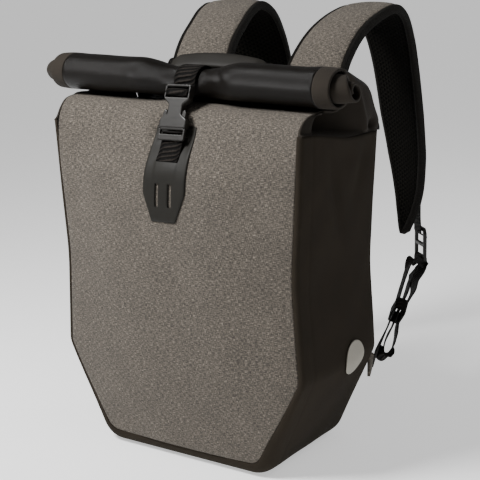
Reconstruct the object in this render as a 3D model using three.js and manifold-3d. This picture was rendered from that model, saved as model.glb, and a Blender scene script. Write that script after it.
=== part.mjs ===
// A roll-top messenger backpack, in millimetres, +Z up, +Y towards the wearer's back.
// The origin is the centre of the base, on the surface that the bag stands on.
import * as THREE from 'three';
import { mergeVertices } from 'three/addons/utils/BufferGeometryUtils.js';
import Module from 'manifold-3d';

const wasm = await Module();
wasm.setup();

// Bag body
const depth = 144;
const creaseWidth = 291;
const creaseHeight = 317;
const waistWidth = 275;
const waistHeight = 195;
const waistRadius = 260;
const hipWidth = 286;
const hipHeight = 101;
const hipRadius = 22;
const baseWidth = 197;
const baseRadius = 27;
const baseSag = 8;
const baseFlatDepth = 80;
const frontCornerRadius = 4;
const backCornerRadius = 9;
const panelBulge = 14;
const shoulderRise = 32;
const panelTopHeight = creaseHeight + shoulderRise;
const sideBulge = 2;
const buckleDent = 10.6;
const buckleDentWidth = 25;
const buckleDentHeight = 16;

// Cloth walls and the gaps between sewn pieces
const cloth = 2;
const backPanelThickness = 4;
const gap = 0.3;
const seamGap = 0.5;
const lip = 1.2;
const outlineStep = 30;
const bandFlats = [-0.9, -0.7, 0, 0.7];

// Rolled closure
const rollWidth = 290;
const rollBack = -9;
const rollBottom = panelTopHeight + 1;
const rollDepth = 48;
const rollHeight = 40;
const rollPinchDepth = 0.7;
const rollPinchHeight = 0.78;
const rollPinchHalf = 62;
const rollTurns = 2.4;
const rollPitch = 6;
const rollCloth = 2.6;
const rollStart = THREE.MathUtils.degToRad(60);
const rollEndLength = 32;
const rollEndOuterLength = 16;
const rollEndTaper = 0.28;
const rollPlaces = [-1, -0.7, -0.42, -0.22, -0.1, 0.1, 0.22, 0.42, 0.7, 1];
const topTilt = 5;
const tuckDepth = 26;
const tuckHold = 0.3;

// Webbing and patch
const webbingWidth = 25;
const webbing = 1.6;
const patchLength = 87;
const patchDrop = 20;
const patchTopHeight = panelTopHeight - patchDrop;
const patchWidth = 49;
const patchEndWidth = 27.6;
const patch = 2.5;
const patchGap = 1.25;
const patchSlotWidth = 4;
const patchSlotLength = 22;
const patchSlotSpacing = 15;
const patchSlotDrop = 51;
const patchStitchDrop = 30;
const stitchPlaces = [6, 0, -3];
const maleBarShare = 0.35;

// Where the upper webbing runs: shares of the way from the roof to the roll, degrees over the roll.
const overRoof = [0.55, 0.85];
const overRoll = [75, 95, 115, 135, 150];

// Side-release buckle
const buckleWidth = 31;
const buckleThickness = 7.5;
const buckleRise = 18;
const buckleTop = rollBottom + buckleRise;
const buckleSetback = 19.5;
const buckleFront = depth / 2 - buckleSetback;
const buckleWaist = 15;
const femaleLength = 42;
const maleBaseLength = 17.5;
const buckleWall = 1.8;
const buckleBar = 4;
const buckleCorner = 2;
const middleBar = 3;
const maleSlotStart = 3;
const buckleLean = THREE.MathUtils.degToRad(20);
const prongWidth = 4.5;
const prongStart = 0.56;
const prongPoint = 3;
const prongSlope = 2;

// Places down the female half, as shares of its length: shoulder, waist from and to, mouth.
const waistShares = [0.4, 0.5, 0.72, 0.86];

// Carrying handle
const handleLength = 108;
const handleDrop = 10;
const handleHeight = rollBottom + rollHeight - handleDrop;
const handleDepthPlace = 9;
const handleArch = 5;
const gripWidth = 21;
const gripThickness = 9;
const gripWall = 3.5;
const gripPower = 0.6;
const gripLean = THREE.MathUtils.degToRad(50);
const handleStrapWidth = 15;
const handleFootSpread = 130;
const handleFootDrop = 11;
const handleFootHeight = creaseHeight - handleFootDrop;

// The handle webbing's way up from a foot: shares of the feet's half spread and of the body's half
// depth, and millimetres above the crease. Then its way into the grip, from the grip's own end.
const handleRise = [
  { spread: 1, back: 1.015, rise: 6 },
  { spread: 0.99, back: 0.958, rise: 24 },
  { spread: 0.97, back: 0.55, rise: 47 },
];
const handleEntry = [
  { beyond: 9, back: 17, down: 10 },
  { beyond: 4, back: 3, down: 1.5 },
];

// Shoulder straps
const strapWidth = 71;
const strapThickness = 9.5;
const strapCover = 1.6;
const strapCrown = 3;
const leftStrapLift = 6;
const strapBinding = 5;
const sewnShares = [0.86, 0.88, 0.9];
const adjusterWebbingWidth = 22;
const lockWidth = 30;
const lockHeight = 40;
const lockThickness = 4;
const lockBar = 4;
const keeperLength = 15;
const keeperWall = 1.5;
const keeperPlay = 3;
const keeperHole = 18;
const sideTabHeight = 26;
const sideTabThickness = 3;

// Reflective disc on the right-hand side
const discDiameter = 34;
const discThickness = 0.8;
const discHeight = 103;
const discBack = 20;

// Shares of the crease height and of the panel bulge: how far the front panel stands out.
const frontProfile = [
  { height: 0, edge: -0.15, middle: -0.1 },
  { height: 0.09, edge: 0, middle: 0.3 },
  { height: 0.32, edge: 0, middle: 0.86 },
  { height: 0.57, edge: 0, middle: 1 },
  { height: 0.76, edge: 0, middle: 0.9 },
  { height: 0.89, edge: 0.02, middle: 0.56 },
  { height: 0.95, edge: 0, middle: 0.07 },
  { height: 1, edge: -0.04, middle: -0.36 },
];

// The front panel above the crease: shares of the rise to its top, and of the body's half depth.
const shoulderProfile = [
  { rise: 0.36, edge: 0.965, middle: 0.86 },
  { rise: 0.7, edge: 0.89, middle: 0.77 },
  { rise: 0.9, edge: 0.78, middle: 0.66 },
  { rise: 0.98, edge: 0.64, middle: 0.53 },
  { rise: 1, edge: 0.47, middle: 0.39 },
];

// The sloping roof behind the roll, from the back panel forwards, at its ends and in its middle:
// shares of the body's half depth, and of the rise from the crease to the top of the roll.
const roofProfile = [
  { endDepth: 1, endRise: 0, middleDepth: 1, middleRise: 0 },
  { endDepth: 1, endRise: 0.05, middleDepth: 1, middleRise: 0.05 },
  { endDepth: 0.92, endRise: 0.22, middleDepth: 0.89, middleRise: 0.15 },
  { endDepth: 0.76, endRise: 0.54, middleDepth: 0.66, middleRise: 0.33 },
  { endDepth: 0.6, endRise: 0.67, middleDepth: 0.42, middleRise: 0.49 },
  { endDepth: 0.31, endRise: 0.74, middleDepth: 0.14, middleRise: 0.64 },
  { endDepth: 0.03, endRise: 0.87, middleDepth: -0.08, middleRise: 0.75 },
];

// A shoulder strap's outer face, from its seam on the back panel over the shoulder to its tip.
// Columns are the centre, as shares of the crease width, the depth and the crease height, the share
// of the strap's width, and the turn of the strap about the vertical in degrees.
const strapRun = [
  { x: 0.2199, y: 0.5236, z: 0.9148, width: 0.930, turn: 0 },
  { x: 0.2234, y: 0.5236, z: 1.0032, width: 0.958, turn: 0 },
  { x: 0.2337, y: 0.5222, z: 1.0915, width: 0.986, turn: -2 },
  { x: 0.2405, y: 0.5278, z: 1.1735, width: 1.000, turn: -5 },
  { x: 0.2491, y: 0.6319, z: 1.2429, width: 0.972, turn: -6 },
  { x: 0.2577, y: 0.7986, z: 1.3028, width: 0.958, turn: -8 },
  { x: 0.2784, y: 0.9861, z: 1.3470, width: 0.958, turn: -10 },
  { x: 0.2955, y: 1.1806, z: 1.3659, width: 0.944, turn: -12 },
  { x: 0.2990, y: 1.3472, z: 1.3344, width: 0.944, turn: -15 },
  { x: 0.3007, y: 1.4722, z: 1.2618, width: 0.944, turn: -19 },
  { x: 0.3024, y: 1.5625, z: 1.1672, width: 0.958, turn: -23 },
  { x: 0.3093, y: 1.6528, z: 0.9905, width: 0.986, turn: -27 },
  { x: 0.3162, y: 1.7153, z: 0.8423, width: 0.915, turn: -30 },
  { x: 0.3265, y: 1.7083, z: 0.7224, width: 0.690, turn: -30 },
  { x: 0.3299, y: 1.6667, z: 0.6435, width: 0.451, turn: -28 },
  { x: 0.3265, y: 1.6181, z: 0.5741, width: 0.169, turn: -26 },
];

// The adjusting webbing, as points of its middle line: from the side tab up to the lock,
// and from the lock down again through the keeper, where its end is folded back in a loop.
const adjusterRun = [
  [132, 83, 78], [130, 94, 85], [127.3, 112, 93], [123.6, 134, 102.5], [118.5, 158, 112.5],
  [112, 190, 133], [106, 217, 144], [101.5, 243, 145],
];
const tailRun = [
  [102, 256, 134], [105, 243, 127], [109.5, 226, 121], [114.5, 208, 116], [120, 184, 112.5],
  [125, 161, 108.3], [127.5, 146, 99], [128.5, 140, 87], [129.5, 131, 78], [130, 117, 75],
  [131, 107, 82], [131, 111, 91], [128, 134, 101], [122, 160, 110.5], [117, 186, 120],
  [111, 211, 131], [106, 232, 138],
];
const keeperPoint = 4;
const keeperPlace = [121.8, 159.5, 110.5];
const lockPlace = [100, 260, 142];
const webbingTurn = -44;

const halfDepth = depth / 2;
const rollTop = rollBottom + rollHeight;
const handleStrap = webbing;

const cloths = {
  melange: new THREE.MeshStandardMaterial({ color: 0x807a72, roughness: 0.9 }),
  black: new THREE.MeshStandardMaterial({ color: 0x26231e, roughness: 0.75 }),
  satin: new THREE.MeshStandardMaterial({ color: 0x2a2624, roughness: 0.45 }),
  mesh: new THREE.MeshStandardMaterial({ color: 0x101010, roughness: 0.95 }),
  webbing: new THREE.MeshStandardMaterial({ color: 0x0f0f0e, roughness: 0.8 }),
  rubber: new THREE.MeshStandardMaterial({ color: 0x30302d, roughness: 0.6 }),
  plastic: new THREE.MeshStandardMaterial({ color: 0x2c2c2e, roughness: 0.35 }),
  reflective: new THREE.MeshStandardMaterial({ color: 0xaaa89e, roughness: 0.4 }),
};

const smooth = (value) => THREE.MathUtils.smoothstep(value, 0, 1);
const lerp = THREE.MathUtils.lerp;

// Reads a column of a table at a value of its key column.
function lookUp(table, key, value, column) {
  const last = table.length - 1;
  const at = table.findIndex((row) => row[key] >= value);
  if (at === 0) return table[0][column];
  if (at < 0) return table[last][column];
  const low = table[at - 1];
  const high = table[at];
  return lerp(low[column], high[column], (value - low[key]) / (high[key] - low[key]));
}

// Makes a geometry of points and triangles, turned so that its faces point out.
function closedGeometry(points, triangles) {
  let volume = 0;
  for (const [a, b, c] of triangles) {
    volume += points[a].dot(new THREE.Vector3().crossVectors(points[b], points[c]));
  }
  const faces = volume < 0 ? triangles.map(([a, b, c]) => [a, c, b]) : triangles;
  const geometry = new THREE.BufferGeometry();
  geometry.setFromPoints(points);
  geometry.setIndex(faces.flat());
  geometry.computeVertexNormals();
  return geometry;
}

// Closes two grids of equal size, an outer and an inner one, into one wall.
function wallBetween(outer, inner) {
  const rows = outer.length;
  const columns = outer[0].length;
  const points = [...outer.flat(), ...inner.flat()];
  const outside = (i, j) => i * columns + j;
  const inside = (i, j) => rows * columns + i * columns + j;
  const triangles = [];
  const quad = (a, b, c, d) => triangles.push([a, b, c], [a, c, d]);
  for (let i = 0; i < rows - 1; i++) {
    for (let j = 0; j < columns - 1; j++) {
      quad(outside(i, j), outside(i + 1, j), outside(i + 1, j + 1), outside(i, j + 1));
      quad(inside(i, j), inside(i, j + 1), inside(i + 1, j + 1), inside(i + 1, j));
    }
  }
  for (let i = 0; i < rows - 1; i++) {
    quad(outside(i, 0), inside(i, 0), inside(i + 1, 0), outside(i + 1, 0));
    const j = columns - 1;
    quad(outside(i, j), outside(i + 1, j), inside(i + 1, j), inside(i, j));
  }
  for (let j = 0; j < columns - 1; j++) {
    quad(outside(0, j), outside(0, j + 1), inside(0, j + 1), inside(0, j));
    const i = rows - 1;
    quad(outside(i, j), inside(i, j), inside(i, j + 1), outside(i, j + 1));
  }
  return closedGeometry(points, triangles);
}

// Joins closed loops of equal length into one solid with flat ends.
function loft(loops) {
  const count = loops[0].length;
  const triangles = [];
  for (let i = 0; i < loops.length - 1; i++) {
    for (let j = 0; j < count; j++) {
      const next = (j + 1) % count;
      const [a, b] = [i * count + j, i * count + next];
      triangles.push([a, b, b + count], [a, b + count, a + count]);
    }
  }
  const last = (loops.length - 1) * count;
  for (let j = 0; j < count / 2 - 1; j++) {
    const [a, b, c, d] = [j, j + 1, count - 2 - j, count - 1 - j];
    triangles.push([a, c, b], [a, d, c]);
    triangles.push([last + a, last + b, last + c], [last + a, last + c, last + d]);
  }
  return closedGeometry(loops.flat(), triangles);
}

// The slope of a grid at one place, along its rows or its columns.
function slope(grid, i, j, alongRows) {
  const last = alongRows ? grid.length - 1 : grid[0].length - 1;
  const at = alongRows ? i : j;
  const [low, high] = [Math.max(at - 1, 0), Math.min(at + 1, last)];
  const from = alongRows ? grid[low][j] : grid[i][low];
  const to = alongRows ? grid[high][j] : grid[i][high];
  return to.clone().sub(from);
}

// Moves each point of a grid along the grid's own normal.
function offsetGrid(grid, distance) {
  return grid.map((row, i) => row.map((point, j) => {
    const normal = slope(grid, i, j, true).cross(slope(grid, i, j, false)).normalize();
    return point.clone().addScaledVector(normal, distance);
  }));
}

// A piece of cloth on a grid, with its thickness on the side that the sign of the distance names.
function clothSheet(grid, thickness) {
  return wallBetween(grid, offsetGrid(grid, thickness));
}

// A copy that holds positions only, with its shared corners merged.
function merged(geometry) {
  const bare = geometry.clone();
  bare.deleteAttribute('normal');
  bare.deleteAttribute('uv');
  return mergeVertices(bare, 1e-4);
}

// Mirrors a geometry from the right-hand side of the bag to the left.
function mirrored(geometry) {
  const copy = merged(geometry);
  const position = copy.attributes.position;
  for (let i = 0; i < position.count; i++) position.setX(i, -position.getX(i));
  const index = copy.index.array;
  for (let i = 0; i < index.length; i += 3) [index[i + 1], index[i + 2]] = [index[i + 2], index[i + 1]];
  copy.computeVertexNormals();
  return copy;
}

// The rolled top hangs a little lower on the right than on the left, and draws what is near it along.
function tilted(geometry) {
  const copy = merged(geometry);
  const position = copy.attributes.position;
  for (let i = 0; i < position.count; i++) {
    const z = position.getZ(i);
    const share = smooth((z - creaseHeight - gap) / shoulderRise);
    position.setZ(i, z - topTilt * share * position.getX(i) / (creaseWidth / 2));
  }
  copy.computeVertexNormals();
  return copy;
}

// Raises what lies above the foot of the shoulder straps.
function lifted(geometry, lift) {
  const position = geometry.attributes.position;
  for (let i = 0; i < position.count; i++) {
    const z = position.getZ(i);
    position.setZ(i, z + lift * smooth((z - creaseHeight) / (depth * 0.7)));
  }
  return geometry;
}

function toManifold(geometry) {
  const bare = merged(geometry);
  return new wasm.Manifold(new wasm.Mesh({
    numProp: 3,
    vertProperties: new Float32Array(bare.attributes.position.array),
    triVerts: new Uint32Array(bare.index.array),
  }));
}

function fromManifold(solid) {
  const mesh = solid.getMesh();
  const geometry = new THREE.BufferGeometry();
  geometry.setAttribute('position', new THREE.BufferAttribute(new Float32Array(mesh.vertProperties), 3));
  geometry.setIndex(new THREE.BufferAttribute(new Uint32Array(mesh.triVerts), 1));
  geometry.computeVertexNormals();
  return geometry;
}

function cutAway(geometry, cutters) {
  const body = cutters.reduce((left, cutter) => left.subtract(toManifold(cutter)), toManifold(geometry));
  return fromManifold(body);
}

// A line with its corners rounded, as points of the plane; straight stretches are divided too.
function roundedLine(corners, longestStep) {
  const stops = [{ x: corners[0].x, z: corners[0].z }];
  const arcStep = Math.PI / 10;
  for (let i = 1; i < corners.length - 1; i++) {
    const [before, corner, after] = [corners[i - 1], corners[i], corners[i + 1]];
    const at = new THREE.Vector2(corner.x, corner.z);
    const into = at.clone().sub(new THREE.Vector2(before.x, before.z)).normalize();
    const out = new THREE.Vector2(after.x, after.z).sub(at).normalize();
    const turn = Math.acos(THREE.MathUtils.clamp(into.dot(out), -1, 1));
    const side = Math.sign(into.cross(out));
    const start = at.clone().addScaledVector(into, -corner.radius * Math.tan(turn / 2));
    const centre = start.clone().addScaledVector(new THREE.Vector2(-into.y, into.x), side * corner.radius);
    const steps = Math.max(2, Math.ceil(turn / arcStep));
    for (let k = 0; k <= steps; k++) {
      const point = start.clone().rotateAround(centre, side * turn * k / steps);
      stops.push({ x: point.x, z: point.y });
    }
  }
  stops.push({ x: corners.at(-1).x, z: corners.at(-1).z });
  const line = [stops[0]];
  for (let i = 1; i < stops.length; i++) {
    const [from, to] = [stops[i - 1], stops[i]];
    const pieces = Math.ceil(Math.hypot(to.x - from.x, to.z - from.z) / longestStep);
    for (let k = 1; k <= pieces; k++) {
      line.push({ x: lerp(from.x, to.x, k / pieces), z: lerp(from.z, to.z, k / pieces) });
    }
  }
  return line;
}

// Half of the body's outline from the front, from the right-hand crease down to the middle of the base.
const halfOutline = roundedLine([
  { x: creaseWidth / 2, z: creaseHeight },
  { x: waistWidth / 2, z: waistHeight, radius: waistRadius },
  { x: hipWidth / 2, z: hipHeight, radius: hipRadius },
  { x: baseWidth / 2, z: 0, radius: baseRadius },
  { x: 0, z: 0 },
], outlineStep);
const outline = [
  ...halfOutline,
  ...halfOutline.slice(0, -1).reverse().map(({ x, z }) => ({ x: -x, z })),
];

// The outline's inward direction at each of its points.
const outlineInward = outline.map((point, i) => {
  if (i === 0 || i === outline.length - 1) return { x: -Math.sign(point.x), z: 0 };
  const before = outline[Math.max(i - 1, 0)];
  const after = outline[Math.min(i + 1, outline.length - 1)];
  const along = new THREE.Vector2(after.x - before.x, after.z - before.z).normalize();
  return { x: along.y, z: -along.x };
});

// How far the wall stands in from the outline: the base lifts towards the front and back,
// and the sides swell a little in the middle of their depth.
function wallInset(point, y) {
  const past = Math.max(0, Math.abs(y) - baseFlatDepth / 2) / (halfDepth - baseFlatDepth / 2);
  const low = 1 - smooth(point.z / hipHeight);
  const swell = sideBulge * (1 - (y / halfDepth) ** 2) * (1 - low);
  return baseSag * low * past ** 6 - swell;
}

function wallPoint(index, y, inset) {
  const point = outline[index];
  const inward = outlineInward[index];
  const total = inset + wallInset(point, y);
  return new THREE.Vector3(point.x + inward.x * total, y, point.z + inward.z * total);
}

// The stations across the side band: its front edge, the corners and the flat between them.
function bandStations() {
  const corner = (radius, sign) => [0, 1, 2].map((step) => {
    const angle = step / 2 * Math.PI / 2;
    const [back, inset] = [radius * (1 - Math.cos(angle)), radius * (1 - Math.sin(angle))];
    return { y: sign * (halfDepth - back), inset };
  });
  const flats = bandFlats.map((share) => ({ y: share * halfDepth, inset: 0 }));
  return [
    { y: -halfDepth, inset: frontCornerRadius + lip },
    ...corner(frontCornerRadius, -1),
    ...flats,
    ...corner(backCornerRadius, 1).reverse(),
    { y: halfDepth, inset: backCornerRadius + lip },
  ];
}

function sideBand() {
  const stations = bandStations();
  const grid = outline.map((_, i) => stations.map(({ y, inset }) => wallPoint(i, y, inset)));
  return clothSheet(grid, -cloth);
}

// The rows of a flat panel that fills the outline, from the base upwards, each as the places
// of its right-hand edge.
function panelRows(y, inset) {
  const flat = halfOutline.findIndex(({ z }) => z < 1e-6);
  const rows = halfOutline.slice(0, flat + 1).map((_, i) => wallPoint(i, y, inset));
  return rows.reverse();
}

const across = (count) => Array.from({ length: count + 1 }, (_, i) => 2 * i / count - 1);

// The webbing draws the top of the front panel in behind the buckle.
function dentBehindBuckle(x, z) {
  const [u, v] = [x / buckleDentWidth, (z - patchTopHeight + 7) / buckleDentHeight];
  return buckleDent * Math.exp(-(u ** 4) - v * v);
}

function frontPlace(height, share) {
  const edge = lookUp(frontProfile, 'height', height, 'edge');
  const middle = lookUp(frontProfile, 'height', height, 'middle');
  return -halfDepth - panelBulge * lerp(edge, middle, 1 - Math.abs(share) ** 2.5);
}

// Places across the front panel: four to each side under the patch, then wider apart.
const underPatch = patchWidth / creaseWidth;
const frontShares = [
  -1, -0.8, -0.5, -0.28, ...across(6).map((share) => share * underPatch), 0.28, 0.5, 0.8, 1,
];

const dented = (x, y, z) => new THREE.Vector3(x, y + dentBehindBuckle(x, z), z);

// The outer face of the front panel, from the base up and back under the roll.
function frontGrid() {
  const edgeInset = frontCornerRadius + lip + gap;
  const shares = frontShares;
  const lower = panelRows(-halfDepth, edgeInset).map((edge) => shares.map((share) =>
    dented(edge.x * share, frontPlace(edge.z / creaseHeight, share), edge.z)));
  const topEdge = creaseWidth / 2 - edgeInset - 2 * seamGap;
  const upper = shoulderProfile.map(({ rise, edge, middle }) => shares.map((share) => {
    const y = -halfDepth * lerp(edge, middle, 1 - Math.abs(share) ** 2.5);
    return dented(topEdge * share, y, lerp(creaseHeight, panelTopHeight, rise));
  }));
  return [...lower, ...upper];
}

function backPanel() {
  const rows = panelRows(halfDepth, backCornerRadius + lip + gap).map((edge) => across(2).map((share) =>
    new THREE.Vector3(edge.x * share, halfDepth, Math.min(edge.z, creaseHeight - gap))));
  return wallBetween(rows, rows.map((row) => row.map((point) => new THREE.Vector3(
    point.x, point.y - backPanelThickness, point.z))));
}

// The roll is an oval spiral that the webbing draws in at the middle.
function rollOval(x) {
  const flat = webbingWidth / 2 + gap;
  const free = smooth((Math.abs(x) - flat) / (rollPinchHalf - flat));
  const a = rollDepth / 2 * lerp(rollPinchDepth, 1, free);
  const b = rollHeight / 2 * lerp(rollPinchHeight, 1, free);
  return { a, b, y: rollBack - a, z: rollBottom + b };
}

const rollRange = rollTurns * 2 * Math.PI;
const rollSteps = Math.ceil(rollTurns * 10);
const rollAngles = Array.from({ length: rollSteps + 1 }, (_, i) => rollStart + rollRange * i / rollSteps);

function rollPoint(x, angle, shrink = 1) {
  const oval = rollOval(x);
  const turns = (angle - rollStart) / (2 * Math.PI);
  const reach = (1 - turns * rollPitch / (rollDepth / 2)) * shrink;
  const [across, up] = [oval.a * reach * Math.cos(angle), oval.b * reach * Math.sin(angle)];
  return new THREE.Vector3(x, oval.y + across, oval.z + up);
}

// The roof's slope at one place across the bag, between its ends and its middle.
function roofPoint(row, x) {
  const end = (Math.abs(x) / (rollWidth / 2)) ** 2;
  const rise = rollTop - creaseHeight - gap;
  return new THREE.Vector3(
    x,
    halfDepth * lerp(row.middleDepth, row.endDepth, end),
    creaseHeight + gap + rise * lerp(row.middleRise, row.endRise, end),
  );
}

// Thickens a grid within the planes across the bag, so that its ends stay flat.
function thickenAcross(grid, thickness) {
  return grid.map((row, i) => row.map((point, j) => {
    const along = slope(grid, i, j, true);
    const normal = new THREE.Vector3(0, -along.z, along.y).normalize();
    return point.clone().addScaledVector(normal, thickness);
  }));
}

function rollCentre() {
  const places = rollPlaces.map((share) => share * rollWidth / 2);
  const grid = [
    ...roofProfile.map((row) => places.map((x) => roofPoint(row, x))),
    ...rollAngles.map((angle) => places.map((x) => rollPoint(x, angle))),
  ];
  return wallBetween(grid, thickenAcross(grid, rollCloth));
}

// An end of the roll, whose inner turns reach farther out than its outer one.
function rollEnd() {
  const start = rollWidth / 2 + gap;
  const grid = rollAngles.map((angle) => {
    const wound = (angle - rollStart) / rollRange;
    const length = lerp(rollEndOuterLength, rollEndLength, Math.min(1, wound * 1.6));
    return [0, 0.5, 1].map((share) => {
      const out = length * share;
      return rollPoint(start + out, angle, 1 - rollEndTaper * (out / rollEndLength) ** 2);
    });
  });
  return wallBetween(grid, thickenAcross(grid, rollCloth));
}

// The tucked side above the crease, drawn in between the front panel, the roof and the roll.
function sideTuck() {
  const outer = creaseWidth / 2;
  const under = (row) => {
    const point = roofPoint(row, rollWidth / 2);
    const x = rollWidth / 2 + seamGap + cloth;
    return new THREE.Vector3(x, point.y - rollCloth / 2, point.z - rollCloth - 2 * seamGap);
  };
  const frontX = outer - frontCornerRadius + seamGap + cloth / 2;
  const front = shoulderProfile.map(({ rise, edge }) =>
    new THREE.Vector3(frontX, -halfDepth * edge, lerp(creaseHeight, panelTopHeight, rise)));
  const lowHeight = creaseHeight + 2 * seamGap;
  const lowFront = new THREE.Vector3(outer - lip, -halfDepth + lip, lowHeight);
  const lowBack = new THREE.Vector3(outer - lip, halfDepth - lip - backCornerRadius / 2, lowHeight);
  const backEdge = [lowBack, ...roofProfile.slice(2, 4).map(under)];
  const underRoll = [
    new THREE.Vector3(rollWidth / 2 + cloth, rollBack + rollCloth, rollBottom + rollHeight * tuckHold),
    new THREE.Vector3(rollWidth / 2 + cloth, rollBack - rollCloth, rollBottom - seamGap),
  ];
  const topEdge = [...roofProfile.slice(3).map(under), ...underRoll, front.at(-1)].reverse();
  const curve = (points) => new THREE.CatmullRomCurve3(points, false, 'centripetal');
  const [low, top] = [curve([lowFront, lowBack]), curve(topEdge)];
  const [left, right] = [curve([lowFront, ...front]), curve(backEdge)];
  const [columns, rows] = [6, 6];
  const grid = [];
  for (let i = 0; i <= rows; i++) {
    const t = i / rows;
    grid.push(Array.from({ length: columns + 1 }, (_, j) => {
      const s = j / columns;
      const point = new THREE.Vector3();
      point.addScaledVector(low.getPoint(s), 1 - t).addScaledVector(top.getPoint(s), t);
      point.addScaledVector(left.getPoint(t), 1 - s).addScaledVector(right.getPoint(t), s);
      point.addScaledVector(lowFront, -(1 - s) * (1 - t)).addScaledVector(lowBack, -s * (1 - t));
      point.addScaledVector(topEdge[0], -(1 - s) * t).addScaledVector(topEdge.at(-1), -s * t);
      point.x -= tuckDepth * (4 * s * (1 - s)) ** 2 * (4 * t * (1 - t)) ** 2;
      return point;
    }));
  }
  return clothSheet(grid, cloth);
}

// How far back the front panel's face lies at a place across and a height, for what is sewn on it.
function frontFace(x, z) {
  const shares = frontGrid().map((row) => {
    const after = Math.max(1, row.findIndex((point) => point.x >= x));
    const [low, high] = [row[after - 1], row[after]];
    return { z: low.z, y: lerp(low.y, high.y, (x - low.x) / (high.x - low.x)) };
  });
  return lookUp(shares, 'z', z, 'y');
}

const patchProfile = [
  { drop: 0, width: 0.95 },
  { drop: 0.5, width: 1 },
  { drop: 0.72, width: 0.94 },
  { drop: 0.9, width: 0.76 },
  { drop: 1, width: patchEndWidth / patchWidth },
];

function patchFace(x, z, out) {
  return new THREE.Vector3(x, frontFace(x, z) - patchGap - out, z);
}

function patchPlate() {
  const drops = Array.from({ length: 13 }, (_, i) => i / 12);
  const side = (out) => drops.map((drop) => across(6).map((share) => {
    const half = patchWidth / 2 * lookUp(patchProfile, 'drop', drop, 'width');
    return patchFace(half * share, patchTopHeight - patchLength * drop, out);
  }));
  const slots = [-1, 1].map((sign) => {
    const slot = new THREE.BoxGeometry(patchSlotWidth, 40, patchSlotLength);
    const z = patchTopHeight - patchSlotDrop - patchSlotLength / 2;
    slot.translate(sign * patchSlotSpacing / 2, frontFace(0, z), z);
    return slot;
  });
  return cutAway(wallBetween(side(patch), side(0)), slots);
}

// A strip of even thickness along points of the plane across the bag.
function strip(points, width, thickness, x = 0) {
  const grid = points.map(([y, z]) => [-1, 1].map((side) => new THREE.Vector3(x + side * width / 2, y, z)));
  return wallBetween(grid, thickenAcross(grid, thickness));
}

const buckleAxis = new THREE.Vector3(0, -Math.sin(buckleLean), -Math.cos(buckleLean));
const buckleOut = new THREE.Vector3(0, -Math.cos(buckleLean), Math.sin(buckleLean));
const buckleOrigin = new THREE.Vector3(0, -buckleFront, buckleTop);

// A place on the buckle's middle plane, a distance down from its top edge.
function bucklePlace(down, out = 0) {
  return buckleOrigin.clone()
    .addScaledVector(buckleAxis, down)
    .addScaledVector(buckleOut, out - buckleThickness / 2);
}

// Turns an outline in the buckle's plane, x across and y down from the top, into a plate.
function bucklePlate(shape, thickness) {
  const plate = new THREE.ExtrudeGeometry(shape, { depth: thickness, bevelEnabled: false });
  plate.translate(0, 0, -thickness / 2);
  const [right, inwards] = [new THREE.Vector3(1, 0, 0), buckleOut.clone().negate()];
  const turn = new THREE.Matrix4().makeBasis(right, buckleAxis, inwards);
  turn.setPosition(bucklePlace(0));
  return plate.applyMatrix4(turn);
}

function rectangle(x0, y0, x1, y1) {
  const shape = new THREE.Shape();
  shape.moveTo(x0, y0);
  shape.lineTo(x1, y0);
  shape.lineTo(x1, y1);
  shape.lineTo(x0, y1);
  shape.closePath();
  return shape;
}

// A shape from its right-hand side, given from the top down, and the same on the left.
function symmetric(side) {
  const shape = new THREE.Shape();
  shape.moveTo(side[0][0], side[0][1]);
  for (const [x, y] of side.slice(1)) shape.lineTo(x, y);
  for (const [x, y] of [...side].reverse()) shape.lineTo(-x, y);
  shape.closePath();
  return shape;
}

const slotHalf = webbingWidth / 2 + seamGap;

function femaleBuckle() {
  const half = buckleWidth / 2;
  const [shoulder, waistTop, waistLow, mouth] = waistShares.map((share) => share * femaleLength);
  const shape = symmetric([
    [half - buckleCorner, 0], [half, buckleCorner], [half, shoulder], [buckleWaist / 2, waistTop],
    [buckleWaist / 2, waistLow], [half, mouth], [half, femaleLength],
  ]);
  const shell = bucklePlate(shape, buckleThickness);
  const slots = [0, 1].map((step) => {
    const top = buckleBar + step * (buckleBar + middleBar);
    return bucklePlate(rectangle(-slotHalf, top, slotHalf, top + buckleBar), 3 * buckleThickness);
  });
  const cavity = bucklePlate(
    rectangle(-half + buckleWall, waistTop - buckleWall, half - buckleWall, femaleLength + buckleBar),
    buckleThickness - 2 * buckleWall,
  );
  return cutAway(shell, [...slots, cavity]);
}

function maleBuckle() {
  const half = buckleWidth / 2;
  const inner = half - buckleWall - gap;
  const top = femaleLength * prongStart;
  const seat = femaleLength + gap;
  const low = seat + maleBaseLength;
  const shape = new THREE.Shape();
  shape.moveTo(inner, top + prongPoint);
  shape.lineTo(inner, seat);
  shape.lineTo(half, seat);
  shape.lineTo(half, low);
  shape.lineTo(-half, low);
  shape.lineTo(-half, seat);
  shape.lineTo(-inner, seat);
  shape.lineTo(-inner, top + prongPoint);
  shape.lineTo(-inner + prongSlope, top);
  shape.lineTo(-inner + prongWidth, top + prongSlope);
  shape.lineTo(-inner + prongWidth, seat - prongSlope);
  shape.lineTo(inner - prongWidth, seat - prongSlope);
  shape.lineTo(inner - prongWidth, top + prongSlope);
  shape.lineTo(inner - prongSlope, top);
  shape.closePath();
  shape.holes.push(rectangle(-slotHalf, seat + maleSlotStart, slotHalf, seat + 2 * maleSlotStart));
  return bucklePlate(shape, buckleThickness - 2 * buckleWall - 2 * gap);
}

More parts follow.
